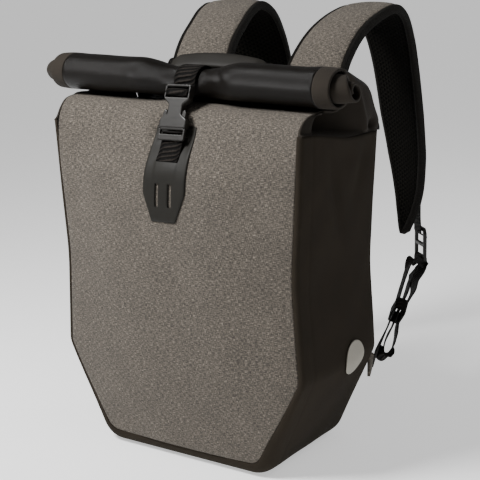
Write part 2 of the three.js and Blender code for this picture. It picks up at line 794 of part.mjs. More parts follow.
// The upper webbing: sewn on the roof, over the roll and round the buckle's top bar.
function upperClosure() {
  const lift = webbing + seamGap;
  const over = overRoof.map((share) => {
    const from = roofPoint(roofProfile.at(-1), 0);
    const to = rollPoint(0, rollStart);
    return [lerp(from.y, to.y, share), lerp(from.z, to.z, share) + lift];
  });
  const oval = rollOval(0);
  for (const degrees of overRoll) {
    const angle = THREE.MathUtils.degToRad(degrees);
    over.push([
      oval.y + (oval.a + lift) * Math.cos(angle),
      oval.z + (oval.b + lift) * Math.sin(angle),
    ]);
  }
  const front = buckleThickness / 2 + seamGap + webbing;
  const slot = buckleBar + webbing + seamGap;
  const bar = [
    [-1.8 * webbing, webbing / 2], [-1.3 * webbing, front - 2 * seamGap], [2 * seamGap, front],
    [buckleBar - seamGap, front], [slot, front - webbing], [slot + seamGap, 0],
  ];
  for (const [down, out] of bar) {
    const place = bucklePlace(down, out);
    over.push([place.y, place.z]);
  }
  return strip(over, webbingWidth, webbing);
}

// The lower webbing: from the buckle's lower bar down to its stitches on the patch.
function lowerClosure() {
  const stitch = patchTopHeight - patchStitchDrop;
  const onPatch = (z) => {
    const places = [0, webbingWidth / 2].map((x) => patchFace(x, z, patch + seamGap + webbing).y);
    return [Math.min(...places), z];
  };
  const front = buckleThickness / 2 - buckleWall + seamGap + webbing;
  const onBuckle = [maleBarShare, 1].map((share) => femaleLength + maleBaseLength * share).map((down) => {
    const place = bucklePlace(down, front);
    return [place.y, place.z];
  });
  const sewn = stitchPlaces.map((above) => onPatch(stitch + above));
  return strip([...onBuckle, ...sewn], webbingWidth, webbing);
}

// The grip's middle line and the webbing's line through it and down to the back panel.
const gripHalf = handleLength / 2;
const gripPoint = (x) => new THREE.Vector3(
  x, handleDepthPlace, handleHeight + handleArch * (1 - (x / gripHalf) ** 2));
const leanAcross = new THREE.Vector3(0, Math.sin(gripLean), Math.cos(gripLean));

function grip() {
  const places = across(6).map((share) => gripHalf * share);
  const ring = (x, width, thickness) => {
    const centre = gripPoint(x);
    const out = new THREE.Vector3(0, -leanAcross.z, leanAcross.y);
    return Array.from({ length: 10 }, (_, i) => {
      const angle = i / 10 * 2 * Math.PI;
      const [u, v] = [Math.cos(angle), Math.sin(angle)];
      return centre.clone()
        .addScaledVector(leanAcross, Math.sign(u) * Math.abs(u) ** gripPower * width / 2)
        .addScaledVector(out, Math.sign(v) * Math.abs(v) ** gripPower * thickness / 2);
    });
  };
  const outer = loft(places.map((x) => ring(x, gripWidth, gripThickness)));
  const [boreWidth, boreThickness] = [handleStrapWidth + gripWall, handleStrap + gripWall];
  const bore = loft(places.map((x) => ring(x * 1.02, boreWidth, boreThickness)));
  return cutAway(outer, [bore]);
}

// A flat band along points, with a direction across it at each point.
function band(points, acrossAt, width, thickness) {
  const loops = points.map((point, i) => {
    const before = points[Math.max(i - 1, 0)];
    const after = points[Math.min(i + 1, points.length - 1)];
    const along = after.clone().sub(before).normalize();
    const side = acrossAt(i).clone().addScaledVector(along, -acrossAt(i).dot(along)).normalize();
    const up = new THREE.Vector3().crossVectors(side, along);
    return [[-1, -1], [1, -1], [1, 1], [-1, 1]].map(([u, v]) => point.clone()
      .addScaledVector(side, u * width / 2).addScaledVector(up, v * thickness / 2));
  });
  return loft(loops);
}

// Handle webbing: through the grip, down over the roof and on to the back panel at both feet.
function handleWebbing() {
  const foot = handleFootSpread / 2;
  const side = [
    new THREE.Vector3(foot, halfDepth + gap + handleStrap / 2, handleFootHeight),
    ...handleRise.map(({ spread, back, rise }) =>
      new THREE.Vector3(foot * spread, halfDepth * back, creaseHeight + rise)),
    ...handleEntry.map(({ beyond, back, down }) =>
      new THREE.Vector3(gripHalf + beyond, handleDepthPlace + back, handleHeight - down)),
  ];
  const inGrip = across(8).map((share) => gripPoint(-gripHalf * share));
  const curve = new THREE.CatmullRomCurve3([
    ...side, ...inGrip, ...side.map((p) => new THREE.Vector3(-p.x, p.y, p.z)).reverse(),
  ], false, 'centripetal');
  const points = curve.getPoints(34);
  const sides = points.map((point) => {
    const inside = smooth((Math.abs(point.x) - gripHalf) / (foot - gripHalf));
    return leanAcross.clone().lerp(new THREE.Vector3(Math.sign(point.x), 0, 0), inside);
  });
  return band(points, (i) => sides[i], handleStrapWidth, handleStrap);
}

// The strap's outer face in its own plane: how far along it, how far across, how deep.
const strapCurve = new THREE.CatmullRomCurve3(
  strapRun.map(({ x, y, z }) => new THREE.Vector3(x * creaseWidth, y * depth, z * creaseHeight)),
  false, 'centripetal');
const strapSteps = 22;

function strapFrame(share) {
  const t = strapCurve.getUtoTmapping(share) * (strapRun.length - 1);
  const at = Math.min(Math.floor(t), strapRun.length - 2);
  const [low, high] = [strapRun[at], strapRun[at + 1]];
  const turn = THREE.MathUtils.degToRad(lerp(low.turn, high.turn, t - at));
  const side = new THREE.Vector3(Math.cos(turn), Math.sin(turn), 0);
  const along = strapCurve.getTangentAt(share);
  const out = new THREE.Vector3().crossVectors(side, along).normalize();
  const crown = strapCrown * smooth(share * 5);
  const half = strapWidth * lerp(low.width, high.width, t - at) / 2;
  return { centre: strapCurve.getPointAt(share), side, out, crown, half };
}

function strapPoint(frame, lateral, deep) {
  const crown = frame.crown * (1 - (lateral / frame.half) ** 2);
  return frame.centre.clone().addScaledVector(frame.side, lateral).addScaledVector(frame.out, crown - deep);
}

const strapFrames = Array.from({ length: strapSteps + 1 }, (_, i) => strapFrame(i / strapSteps));

// One layer of the strap between two depths, inside its binding.
function strapLayer(top, bottom) {
  const margin = strapBinding + seamGap;
  const frames = strapFrames.filter(({ half }) => half > margin + 2);
  const layer = (deep) => frames.map((frame) => across(2).map((share) =>
    strapPoint(frame, share * (frame.half - margin), deep)));
  return wallBetween(layer(top), layer(bottom));
}

// The binding goes down the inner edge, round the tip and up the outer edge.
function strapEdge() {
  const side = (sign) => strapFrames.map((frame) => {
    const inner = Math.max(frame.half - strapBinding, lip);
    return [
      strapPoint(frame, sign * frame.half, 0), strapPoint(frame, sign * frame.half, strapThickness),
      strapPoint(frame, sign * inner, strapThickness), strapPoint(frame, sign * inner, 0),
    ];
  });
  const inner = side(-1);
  const tip = strapFrames.at(-1);
  const along = strapCurve.getTangentAt(1);
  const end = [strapPoint(tip, 0, 0), strapPoint(tip, 0, strapThickness)];
  const round = [
    ...end.map((point) => point.clone().addScaledVector(along, strapBinding)),
    ...[...end].reverse().map((point) => point.clone()),
  ];
  return loft([...inner, round, ...side(1).reverse()]);
}

const webbingAcross = new THREE.Vector3(
  Math.cos(THREE.MathUtils.degToRad(webbingTurn)), Math.sin(THREE.MathUtils.degToRad(webbingTurn)), 0);

// A place by the lock: how far up from its lower edge, and how far out from its middle plane.
function lockPoint(up, out) {
  return new THREE.Vector3(...lockPlace)
    .add(new THREE.Vector3(0, 0, up))
    .addScaledVector(new THREE.Vector3(-webbingAcross.y, webbingAcross.x, 0), out);
}

// The upper webbing is sewn on the strap's outer face near its tip and threaded over the lock's top bar.
function upperWebbing() {
  const sewn = sewnShares.map((share) => strapFrame(share));
  const [beside, slot] = [lockThickness / 2 + webbing / 2 + 3 * gap, lockHeight - lockBar];
  const threaded = [
    [lockHeight + 12, -beside - 1], [lockHeight, -beside], [slot - 2, -beside + 0.4],
    [slot - 5, 0], [slot - 7, beside],
  ];
  const points = [
    ...sewn.map((frame) => strapPoint(frame, 0, -2 * seamGap - webbing / 2)),
    ...threaded.map(([up, out]) => lockPoint(up, out)),
  ];
  const curve = new THREE.CatmullRomCurve3(points, false, 'centripetal');
  const steps = 18;
  const side = (i) => sewn[0].side.clone().lerp(webbingAcross, smooth(1.6 * i / steps - 0.2));
  return band(curve.getPoints(steps), side, adjusterWebbingWidth, webbing);
}

// The lower webbing: up from the side tab, round the lock's lower bar and down to its folded end.
function lowerWebbing() {
  const beside = lockThickness / 2 + webbing / 2 + 2 * gap;
  const hairpin = [[-3, -beside], [1, -beside], [lockBar + 1.6, -beside + 0.5], [lockBar + 3.4, 0],
    [lockBar + 1.6, beside - 0.5], [1, beside], [-3, beside]];
  const points = [
    ...adjusterRun.map((p) => new THREE.Vector3(...p)),
    ...hairpin.map(([up, out]) => lockPoint(up, out)),
    ...tailRun.map((p) => new THREE.Vector3(...p)),
  ];
  const curve = new THREE.CatmullRomCurve3(points, false, 'centripetal');
  const places = curve.getPoints(62);
  return band(places, (i) => twistAt(places[i].y), adjusterWebbingWidth, webbing);
}

// The webbing twists from the lock, past the keeper, to the side tab.
const webbingTwist = [
  { y: 81, across: new THREE.Vector3(0.35, -0.7, 0.62) },
  { y: 163, across: new THREE.Vector3(0.58, -0.58, 0.58) },
  { y: 225, across: new THREE.Vector3(0.58, -0.7, 0.42) },
  { y: 250, across: webbingAcross },
];

function twistAt(y) {
  const at = webbingTwist.findIndex((row) => row.y >= y);
  if (at <= 0) return (at ? webbingTwist.at(-1) : webbingTwist[0]).across.clone();
  const [low, high] = [webbingTwist[at - 1], webbingTwist[at]];
  return low.across.clone().lerp(high.across, (y - low.y) / (high.y - low.y)).normalize();
}

// A frame along the lower webbing at a share of its length, for what is threaded on it.
function onWebbing(points, share) {
  const places = points.map((p) => new THREE.Vector3(...p));
  const curve = new THREE.CatmullRomCurve3(places, false, 'centripetal');
  const along = curve.getTangent(share);
  const across = twistAt(curve.getPoint(share).y);
  const side = across.addScaledVector(along, -across.dot(along)).normalize();
  return new THREE.Matrix4().makeBasis(side, along, new THREE.Vector3().crossVectors(side, along));
}

function ladderLock() {
  const half = lockWidth / 2;
  const shape = symmetric([
    [half - 3, 0], [half, 3], [half, lockHeight - 6], [half - 4, lockHeight],
  ]);
  const opening = adjusterWebbingWidth / 2 + seamGap;
  const slotHeight = (lockHeight - 3 * lockBar) / 2;
  for (const step of [0, 1]) {
    const low = lockBar + step * (slotHeight + lockBar);
    shape.holes.push(rectangle(-opening, low, opening, low + slotHeight));
  }
  const plate = new THREE.ExtrudeGeometry(shape, { depth: lockThickness, bevelEnabled: false });
  plate.translate(0, 0, -lockThickness / 2);
  const up = new THREE.Vector3(0, 0, 1);
  const place = new THREE.Matrix4().makeBasis(webbingAcross, up, webbingAcross.clone().cross(up));
  place.setPosition(lockPoint(0, 0));
  return plate.applyMatrix4(place);
}

// A band of webbing round all the strands, open along the run.
function keeper() {
  const hole = new THREE.Vector2(adjusterWebbingWidth + 2 * keeperPlay, keeperHole);
  const outer = new THREE.BoxGeometry(hole.x + 2 * keeperWall, keeperLength, hole.y + 2 * keeperWall);
  const inner = new THREE.BoxGeometry(hole.x, keeperLength * 2, hole.y);
  const place = onWebbing(adjusterRun, keeperPoint / (adjusterRun.length - 1));
  place.setPosition(new THREE.Vector3(...keeperPlace));
  return cutAway(outer, [inner]).applyMatrix4(place);
}

// The folded tab that is sewn into the back seam and holds the webbing's end.
function sideTab() {
  const end = new THREE.Vector3(...adjusterRun[0]);
  const along = new THREE.Vector3(...adjusterRun[1]).sub(end).normalize();
  const twist = twistAt(end.y);
  const side = twist.addScaledVector(along, -twist.dot(along)).normalize();
  const hold = end.clone().addScaledVector(along, -2 * gap);
  const seam = new THREE.Vector3(hipWidth / 2 - backCornerRadius, halfDepth + gap, end.z);
  const rows = [0, 0.5, 1].map((share) => across(2).map((sign) => {
    const atSeam = seam.clone().setZ(seam.z + sign * sideTabHeight / 2);
    const atEnd = hold.clone().addScaledVector(side, sign * adjusterWebbingWidth / 2);
    return atSeam.lerp(atEnd, share);
  }));
  return clothSheet(rows, sideTabThickness);
}

// A thin disc that follows the side wall.
function sideDisc() {
  const right = halfOutline.map((point, i) => ({ ...point, i }));
  const wallX = (y, z) => {
    const table = right.map(({ i }) => {
      const place = wallPoint(i, y, 0);
      return { x: place.x, z: -place.z };
    });
    return lookUp(table, 'z', -z, 'x');
  };
  const face = (out) => across(6).map((up) => across(6).map((along) => {
    const [u, v] = [up * Math.sqrt(1 - along ** 2 / 2), along * Math.sqrt(1 - up ** 2 / 2)];
    const y = discBack + discDiameter / 2 * v;
    const z = discHeight + discDiameter / 2 * u;
    return new THREE.Vector3(wallX(y, z) + seamGap + out, y, z);
  }));
  return wallBetween(face(discThickness), face(0));
}

const bag = new THREE.Group();

function add(name, geometry, material) {
  const mesh = new THREE.Mesh(geometry, material);
  mesh.name = name;
  bag.add(mesh);
}

function addPair(name, geometry, material, lift = 0) {
  add(`${name}_right`, geometry, material);
  add(`${name}_left`, lifted(mirrored(geometry), lift), material);
}

function addTilted(name, geometry, material) {
  add(name, tilted(geometry), material);
}

addTilted('front_panel', clothSheet(frontGrid(), cloth), cloths.melange);
addTilted('side_band', sideBand(), cloths.black);
addTilted('back_panel', backPanel(), cloths.black);
addTilted('roll_top', rollCentre(), cloths.satin);
addTilted('roll_end_right', rollEnd(), cloths.black);
addTilted('roll_end_left', mirrored(rollEnd()), cloths.black);
addTilted('side_tuck_right', sideTuck(), cloths.black);
addTilted('side_tuck_left', mirrored(sideTuck()), cloths.black);
addTilted('patch', patchPlate(), cloths.rubber);
addTilted('closure_webbing_upper', upperClosure(), cloths.webbing);
addTilted('closure_webbing_lower', lowerClosure(), cloths.webbing);
addTilted('buckle_female', femaleBuckle(), cloths.plastic);
addTilted('buckle_male', maleBuckle(), cloths.plastic);
addTilted('handle_grip', grip(), cloths.rubber);
addTilted('handle_webbing', handleWebbing(), cloths.webbing);
addPair('strap_cover', strapLayer(0, strapCover), cloths.melange, leftStrapLift);
addPair('strap_pad', strapLayer(strapCover + gap, strapThickness), cloths.mesh, leftStrapLift);
addPair('strap_binding', strapEdge(), cloths.black, leftStrapLift);
addPair('strap_webbing_upper', upperWebbing(), cloths.webbing);
addPair('ladder_lock', ladderLock(), cloths.plastic);
addPair('strap_webbing_lower', lowerWebbing(), cloths.webbing);
addPair('webbing_keeper', keeper(), cloths.webbing);
addPair('side_tab', sideTab(), cloths.melange);
add('side_disc', sideDisc(), cloths.reflective);

export default bag;
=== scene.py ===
"""A roll-top messenger backpack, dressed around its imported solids.

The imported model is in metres, +Z up, +Y towards the wearer's back. Shapes are worked out here in
millimetres as whole numpy arrays and turned into metres when a mesh is made.
"""

import math

import bmesh
import bpy
import numpy as np
from bpy.props import FloatProperty, FloatVectorProperty, PointerProperty
from mathutils import Matrix, Vector


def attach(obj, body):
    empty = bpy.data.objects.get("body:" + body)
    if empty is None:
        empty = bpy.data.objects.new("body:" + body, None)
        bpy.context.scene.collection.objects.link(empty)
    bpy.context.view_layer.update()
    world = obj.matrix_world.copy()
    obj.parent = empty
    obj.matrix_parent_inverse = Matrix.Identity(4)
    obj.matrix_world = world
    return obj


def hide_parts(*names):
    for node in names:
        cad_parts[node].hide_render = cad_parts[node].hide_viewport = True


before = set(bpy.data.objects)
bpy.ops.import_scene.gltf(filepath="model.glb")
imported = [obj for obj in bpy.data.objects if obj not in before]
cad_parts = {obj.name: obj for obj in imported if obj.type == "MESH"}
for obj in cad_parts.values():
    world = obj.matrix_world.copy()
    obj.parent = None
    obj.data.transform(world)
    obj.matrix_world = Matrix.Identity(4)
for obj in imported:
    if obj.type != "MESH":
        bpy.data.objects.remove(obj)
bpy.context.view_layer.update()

bl_info = {
    "name": "Roll-top messenger backpack",
    "version": (1, 0, 0),
    "blender": (4, 5, 0),
    "location": "View3D > Sidebar > Backpack",
    "description": "Builds the cloth, webbing and buckles of a roll-top backpack around its solids",
    "category": "Add Mesh",
}

MM = 0.001

# The body, in millimetres: gaps and turned edges, corners, heights, and the outline's corners as
# half width, height and radius
GAP = 0.3
LIP = 1.2
FRONT_CORNER = 4
BACK_CORNER = 9
SHOULDER_RISE = 32
SIDE_RISE = 12
WAIST = (137.5, 195, 260)
HIP = (143, 101, 22)
BASE = (98.5, 0, 27)
BASE_SAG = 8
BASE_FLAT = 40
OUTLINE_STEP = 3
BACK_THICKNESS = 3.8
TAB_THICKNESS = 3

# How far the front panel stands out at its edges and its middle: height, edge depth, middle depth.
FRONT_PROFILE = np.array([
    (0, -69.9, -70.6), (28.5, -72, -76.2), (101, -72, -84), (181, -72, -86), (241, -72, -84.6),
    (282, -72.3, -79.8), (301, -72, -73), (317, -71.4, -67), (328.5, -69.5, -61.9),
    (339.4, -64.1, -55.4), (345.8, -56.2, -47.5), (348.4, -46.1, -38.2), (349, -33.8, -28.1),
])

# The hollow under the buckle: depth, half width, height, half height.
DENT = (10.6, 25, 322, 16)

# Soft folds: reach, then place and width along either direction, a slant, and where the slant is nought.
FRONT_FOLDS = (
    (3.2, 268, 20, 88, 26, 0.5, 88), (2.2, 262, 26, -118, 16), (-1.6, 300, 22, 112, 20),
    (1.4, 150, 30, -95, 40), (1.6, 45, 16, 60, 60),
)
SIDE_FOLDS = ((1.8, 34, 10, 284, 22, -0.3, 280), (1.5, 10, 30, 300, 10), (1.2, -20, 30, 180, 24))
RIGHT_FOLD = (2.4, -6, 9, 262, 34, 0.35, 250)

# The roof behind the roll: depth and height at its ends, depth and height in its middle.
ROOF = np.array([
    (72, 317.3, 72, 317.3), (72, 321, 72, 321), (66.4, 332, 64.1, 328.2),
    (56.5, 353.5, 47.5, 341.3), (48.5, 366.5, 30.2, 352.9), (25, 376.5, 10.1, 363.8),
    (4, 385, -5.8, 371.8),
])

ROLL_HALF = 145
ROLL_BACK = -9
ROLL_BOTTOM = 350
ROLL_TURNS = 2.4
ROLL_PITCH = 6
ROLL_START = math.radians(60)
ROLL_CLOTH = 2.2
PINCH_DEPTH = 0.7
PINCH_HEIGHT = 0.78
PINCH_HALF = 12.8
PINCH_REACH = 62
END_REACH = (16, 31.5)
SEAM_BAND = 20
TUCK_DEPTH = 40
ROOF_LEVEL = (322, 380)

# The patch: top, slots, the seam of the webbing and the fold, and the shares of its width down it
PATCH_TOP = 329
PATCH_SLOTS = (51, 73)
SLOT_PLACE = 7.5
PATCH_SEAM = 30
PATCH_FOLD = 78
PATCH_GAP = 0.3
PATCH_RISE = 1.4
PATCH_PROFILE = np.array([(0, 0.93), (0.5, 1), (0.69, 1), (1, 0.563)])

# The carrying handle
HANDLE_LEAN = math.radians(50)
HANDLE_DEPTH = 9
HANDLE_HEIGHT = 380
HANDLE_RISE = 5
HANDLE_FOOT = 65
HANDLE_WEBBING = 15
GRIP_WIDTH = 19
GRIP_THICKNESS = 7.5

# A strap's run: x, depth, height, width, and the turn of its width in degrees
STRAP_RUN = np.array([
    (64, 75.4, 290, 66, 0), (65, 75.4, 318, 68, 0), (68, 75.2, 346, 70, -2), (70, 76, 372, 71, -5),
    (72.5, 91, 394, 69, -6), (75, 115, 413, 68, -8), (81, 142, 427, 68, -10),
    (86, 170, 433, 67, -12), (87, 194, 423, 67, -15), (87.5, 212, 400, 67, -19),
    (88, 225, 370, 68, -23), (90, 238, 314, 70, -27), (92, 247, 267, 65, -30),
    (95, 246, 229, 49, -30), (96, 240, 204, 32, -28), (95, 233, 182, 12, -26),
])
LEFT_STRAP_LIFT = 6
STRAP_WEBBING = 22
BINDING_WIDTH = 5

ADJUSTER_RUN = [
    (132, 83, 78), (130, 94, 85), (127.3, 112, 93), (123.6, 134, 102.5), (118.5, 158, 112.5),
    (112, 190, 133), (106, 217, 144), (101.5, 243, 145),
]
TAIL_RUN = [
    (102, 256, 134), (105, 243, 127), (109.5, 226, 121), (114.5, 208, 116), (120, 184, 112.5),
    (125, 161, 108.3), (127.5, 146, 99), (128.5, 140, 87), (129.5, 131, 78), (130, 117, 75),
    (131, 107, 82), (131, 111, 91), (128, 134, 101), (122, 160, 110.5), (117, 186, 120),
    (111, 211, 131), (106, 232, 138),
]
LOCK_PLACE = np.array((100, 260, 142))
LOCK_ACROSS = np.array((math.cos(math.radians(-44)), math.sin(math.radians(-44)), 0))
LOCK_OUT = np.array((-LOCK_ACROSS[1], LOCK_ACROSS[0], 0))
LOCK_BAR = 4

# Which way the adjusting webbing's width points: depth, then a direction.
TWIST = np.array([
    (81, 0.35, -0.7, 0.62), (163, 0.58, -0.58, 0.58), (225, 0.58, -0.7, 0.42), (250, *LOCK_ACROSS),
])
KEEPER_PLACE = np.array((121.8, 159.5, 110.5))
KEEPER_LENGTH = 15
KEEPER_OUTER = (26.5, 14)
KEEPER_INNER = (24, 11.4)

BUCKLE_LEAN = math.radians(20)
BUCKLE_DOWN = np.array((0, -math.sin(BUCKLE_LEAN), -math.cos(BUCKLE_LEAN)))
BUCKLE_OUT = np.array((0, -math.cos(BUCKLE_LEAN), math.sin(BUCKLE_LEAN)))
BUCKLE_ORIGIN = np.array((0, -52.5, 368))
BUCKLE_DEPTH = 7.5

DISC_PLACE = (20, 103)
DISC_FACE = 0.9
DISC_THICKNESS = 0.7

# The camera, in metres: azimuth, elevation and roll, where it aims, how far it stands, its lens
CAMERA_TURNS = tuple(math.radians(v) for v in (34.836, 12.742, -1.641))
CAMERA_AIM = np.array((0.027996, 0, 0.210822))
CAMERA_DISTANCE = 1.091846
FOCAL_PIXELS = 1104.49
PICTURE_PIXELS = 480
SENSOR = 36

# The stage, in metres and watts: each lamp's name, place, width and power
FLOOR_HALF = 900
FLOOR_DROP = 0.0005
FLOOR_GLOW = 0.62
WORLD_GLOW = 0.16
LAMP_AIM = Vector((0, 0, 0.2))
LAMPS = (("key", (-0.36, -0.62, 1.04), 0.4, 23), ("rim", (0.8, 1.2, 1.3), 0.7, 6))

SIDES = (("right", 1), ("left", -1))


def size(name):
    """A size from the panel, in millimetres."""
    return getattr(bpy.context.scene.bag_sizes, name) / MM


def colour(name):
    """A colour from the panel."""
    return tuple(getattr(bpy.context.scene.bag_colours, name))


# ---- Numbers and lines ----

def smooth(value):
    """Three times the square less twice the cube, held between 0 and 1."""
    t = np.clip(value, 0, 1)
    return t * t * (3 - 2 * t)


def mix(a, b, share):
    return a + (b - a) * share


def unit(vectors):
    return vectors / np.maximum(np.linalg.norm(vectors, axis=-1, keepdims=True), 1e-12)


def hump(value, centre, width):
    """A bell curve: e to the power of minus the square of the distance over the width."""
    return np.exp(-((value - centre) / width) ** 2)


def fold(across, up, reach, place, width, height, tall, slant=0, level=0):
    """A bell curve across, which slants with the height above a level, times a bell curve up."""
    return reach * hump(across + slant * (up - level), place, width) * hump(up, height, tall)


def travelled(line):
    """The length of a line up to each of its points."""
    return np.concatenate([[0], np.cumsum(np.linalg.norm(np.diff(line, axis=0), axis=1))])


def at_lengths(line, length, wanted):
    """The places on a line at the wanted lengths, each between its two nearest points."""
    return np.stack([np.interp(wanted, length, line[:, k]) for k in range(line.shape[1])], -1)


def curve(points, count, even=True):
    """Cubic pieces through the points, with slopes from their neighbours and knots spaced by the
    square root of their distances; then places at even steps of length. Gives the points and,
    for each, its place counted in given points."""
    p = np.asarray(points, float)
    p = np.vstack([2 * p[0] - p[1], p, 2 * p[-1] - p[-2]])
    gaps = np.maximum(np.linalg.norm(np.diff(p, axis=0), axis=1) ** 0.5, 1e-6)[:, None]
    steps = np.diff(p, axis=0)
    slopes = steps[:-1] / gaps[:-1] - (p[2:] - p[:-2]) / (gaps[:-1] + gaps[1:]) + steps[1:] / gaps[1:]
    at = np.linspace(0, len(points) - 1, 24 * len(points))
    low = np.minimum(at.astype(int), len(points) - 2)
    t = (at - low)[:, None]
    width = gaps[1:-1][low]
    a, b = p[1:-1][low], p[1:-1][low + 1]
    m, n = slopes[low] * width, slopes[low + 1] * width
    line = ((2 * t**3 - 3 * t**2 + 1) * a + (t**3 - 2 * t**2 + t) * m
            + (3 * t**2 - 2 * t**3) * b + (t**3 - t**2) * n)
    if not even:
        return line, at
    length = travelled(line)
    wanted = np.linspace(0, length[-1], count)
    return at_lengths(line, length, wanted), np.interp(wanted, length, at)


def evenly(line, spacing):
    """The same line with its points an even distance apart."""
    length = travelled(line)
    count = max(2, int(round(length[-1] / spacing)) + 1)
    return at_lengths(line, length, np.linspace(0, length[-1], count))


def rounded(corners, closed=False, steps=8):
    """Straight stretches with an arc at each corner (x, y, radius): the arc turns about the point
    that is its radius away from both stretches."""
    corners = [np.array(c, float) for c in corners]
    stops = [] if closed else [corners[0][None, :2]]
    inner = range(len(corners)) if closed else range(1, len(corners) - 1)
    for i in inner:
        before, corner, after = corners[i - 1], corners[i], corners[(i + 1) % len(corners)]
        into, out = unit(corner[:2] - before[:2]), unit(after[:2] - corner[:2])
        turn = math.acos(np.clip(into @ out, -1, 1))
        side = np.sign(into[0] * out[1] - into[1] * out[0]) or 1
        start = corner[:2] - into * corner[2] * math.tan(turn / 2)
        centre = start + side * corner[2] * np.array((-into[1], into[0]))
        angle = side * np.linspace(0, turn, steps)
        spoke = start - centre
        stops.append(centre + np.stack([
            spoke[0] * np.cos(angle) - spoke[1] * np.sin(angle),
            spoke[0] * np.sin(angle) + spoke[1] * np.cos(angle)], -1))
    if not closed:
        stops.append(corners[-1][None, :2])
    return np.vstack(stops)


def ripple(u, v, seed, reach, wavelength):
    """Soft unevenness: a sum of five slanting sine waves of differing length and phase."""
    rng = np.random.default_rng(seed)
    total = np.zeros(np.broadcast(u, v).shape)
    draws = rng.uniform(0, np.pi, 5), rng.uniform(0.6, 1.6, 5), rng.uniform(0, 6.3, 5)
    for turn, stretch, phase in zip(*draws):
        along = u * math.cos(turn) + v * math.sin(turn)
        total += np.sin(2 * np.pi * along / (wavelength * stretch) + phase)
    return total * reach / 3


def tilted(points):
    """The rolled top and what is near it hang lower to the right, by a smooth step above the crease."""
    share = smooth((points[..., 2] - size("crease_height") - GAP) / SHOULDER_RISE)
    drop = size("top_tilt") * share * points[..., 0] / (size("crease_width") / 2)
    return points - np.stack([0 * drop, 0 * drop, drop], -1)


# ---- Meshes ----

def grid_faces(rows, columns, wrap=False):
    """The four corners of each cell of a grid, as point numbers."""
    i, j = np.meshgrid(np.arange(rows - 1), np.arange(columns if wrap else columns - 1), indexing="ij")
    k = (j + 1) % columns
    cells = np.stack([i * columns + j, (i + 1) * columns + j, (i + 1) * columns + k, i * columns + k], -1)
    return cells.reshape(-1, 4)


def lengths(grid):
    """Distances along the columns and the rows of a grid, in metres, as a flat pattern."""
    along = np.linalg.norm(np.diff(grid, axis=0), axis=2)
    across = np.linalg.norm(np.diff(grid, axis=1), axis=2)
    v = np.vstack([np.zeros((1, grid.shape[1])), np.cumsum(along, axis=0)]).mean(1)
    u = np.hstack([np.zeros((grid.shape[0], 1)), np.cumsum(across, axis=1)])
    u = u - u.mean(1, keepdims=True)
    return np.stack([u, np.broadcast_to(v[:, None], u.shape)], -1) * MM


def normals(grid):
    """The cross product of a grid's slopes along its rows and its columns, at each point."""
    return unit(np.cross(np.gradient(grid, axis=0), np.gradient(grid, axis=1)))


def enclosed(points, faces):
    """Six times the volume inside the faces, by the sum of the triple products of their corners."""
    a, b, c = points[faces[:, 0]], points[faces[:, 1]], points[faces[:, 2]]
    total = np.einsum("ij,ij->", a, np.cross(b, c))
    d = points[faces[:, -1]]
    return total + np.einsum("ij,ij->", a, np.cross(c, d))


def solid(name, points, faces, flat):
    """An object from points in millimetres, lists of point numbers, and each corner's place in a flat
    pattern in metres. The straps alone don't hang with the rolled top."""
    mesh = bpy.data.meshes.new(name)
    points = points if name.startswith("strap") else tilted(points)
    mesh.from_pydata((points * MM).tolist(), [], faces)
    mesh.uv_layers.new(name="pattern").data.foreach_set("uv", flat.astype(np.float32).ravel())
    return bpy.data.objects.new(name, mesh)


def dress(piece, finish, node, soft=True):
    """Links a piece, gives it its finish and ties it to the frame."""
    bpy.context.scene.collection.objects.link(piece)
    piece.data.materials.clear()
    piece.data.materials.append(finish_of(finish))
    piece.data.polygons.foreach_set("use_smooth", [soft] * len(piece.data.polygons))
    piece.data.update()
    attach(piece, "root")
    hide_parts(node)
    return piece


def walled(outer, inner, faces):
    """Joins two like sets of points: the faces on both, and a strip along every open edge."""
    count = len(outer)
    edges = np.stack([faces, np.roll(faces, -1, axis=1)], -1).reshape(-1, 2)
    key = np.sort(edges, axis=1)
    _, first, uses = np.unique(key, axis=0, return_index=True, return_counts=True)
    rim = edges[first[uses == 1]]
    strip = np.stack([rim[:, 1], rim[:, 0], rim[:, 0] + count, rim[:, 1] + count], -1)
    return np.vstack([outer, inner]), np.vstack([faces, faces[:, ::-1] + count, strip])


def shell(name, outer, inner, faces, flat, finish, node):
    """Two like grids and the strips between their open edges, turned outwards as a whole. Both
    grids have the same flat pattern."""
    points, walls = walled(outer.reshape(-1, 3), inner.reshape(-1, 3), faces)
    if enclosed(points, walls) < 0:
        walls = walls[:, ::-1]
    flat = np.vstack([flat.reshape(-1, 2)] * 2)
    return dress(solid(name, points, walls.tolist(), flat[walls]), finish, node)


def cloth(name, grid, thickness, finish, slot, node, pattern=None, across=False):
    """A wall of cloth: the grid, and the same grid moved by the thickness, along its normal or, for
    across, square to its columns without leaving their planes."""
    if across:
        slope = np.gradient(grid, axis=0)
        move = unit(np.stack([np.zeros(slope.shape[:2]), -slope[..., 2], slope[..., 1]], -1))
    else:
        move = normals(grid)
    flat = lengths(grid) if pattern is None else pattern
    faces = grid_faces(*grid.shape[:2])
    return shell(name, grid, grid + move * thickness, faces, flat, finish, node)


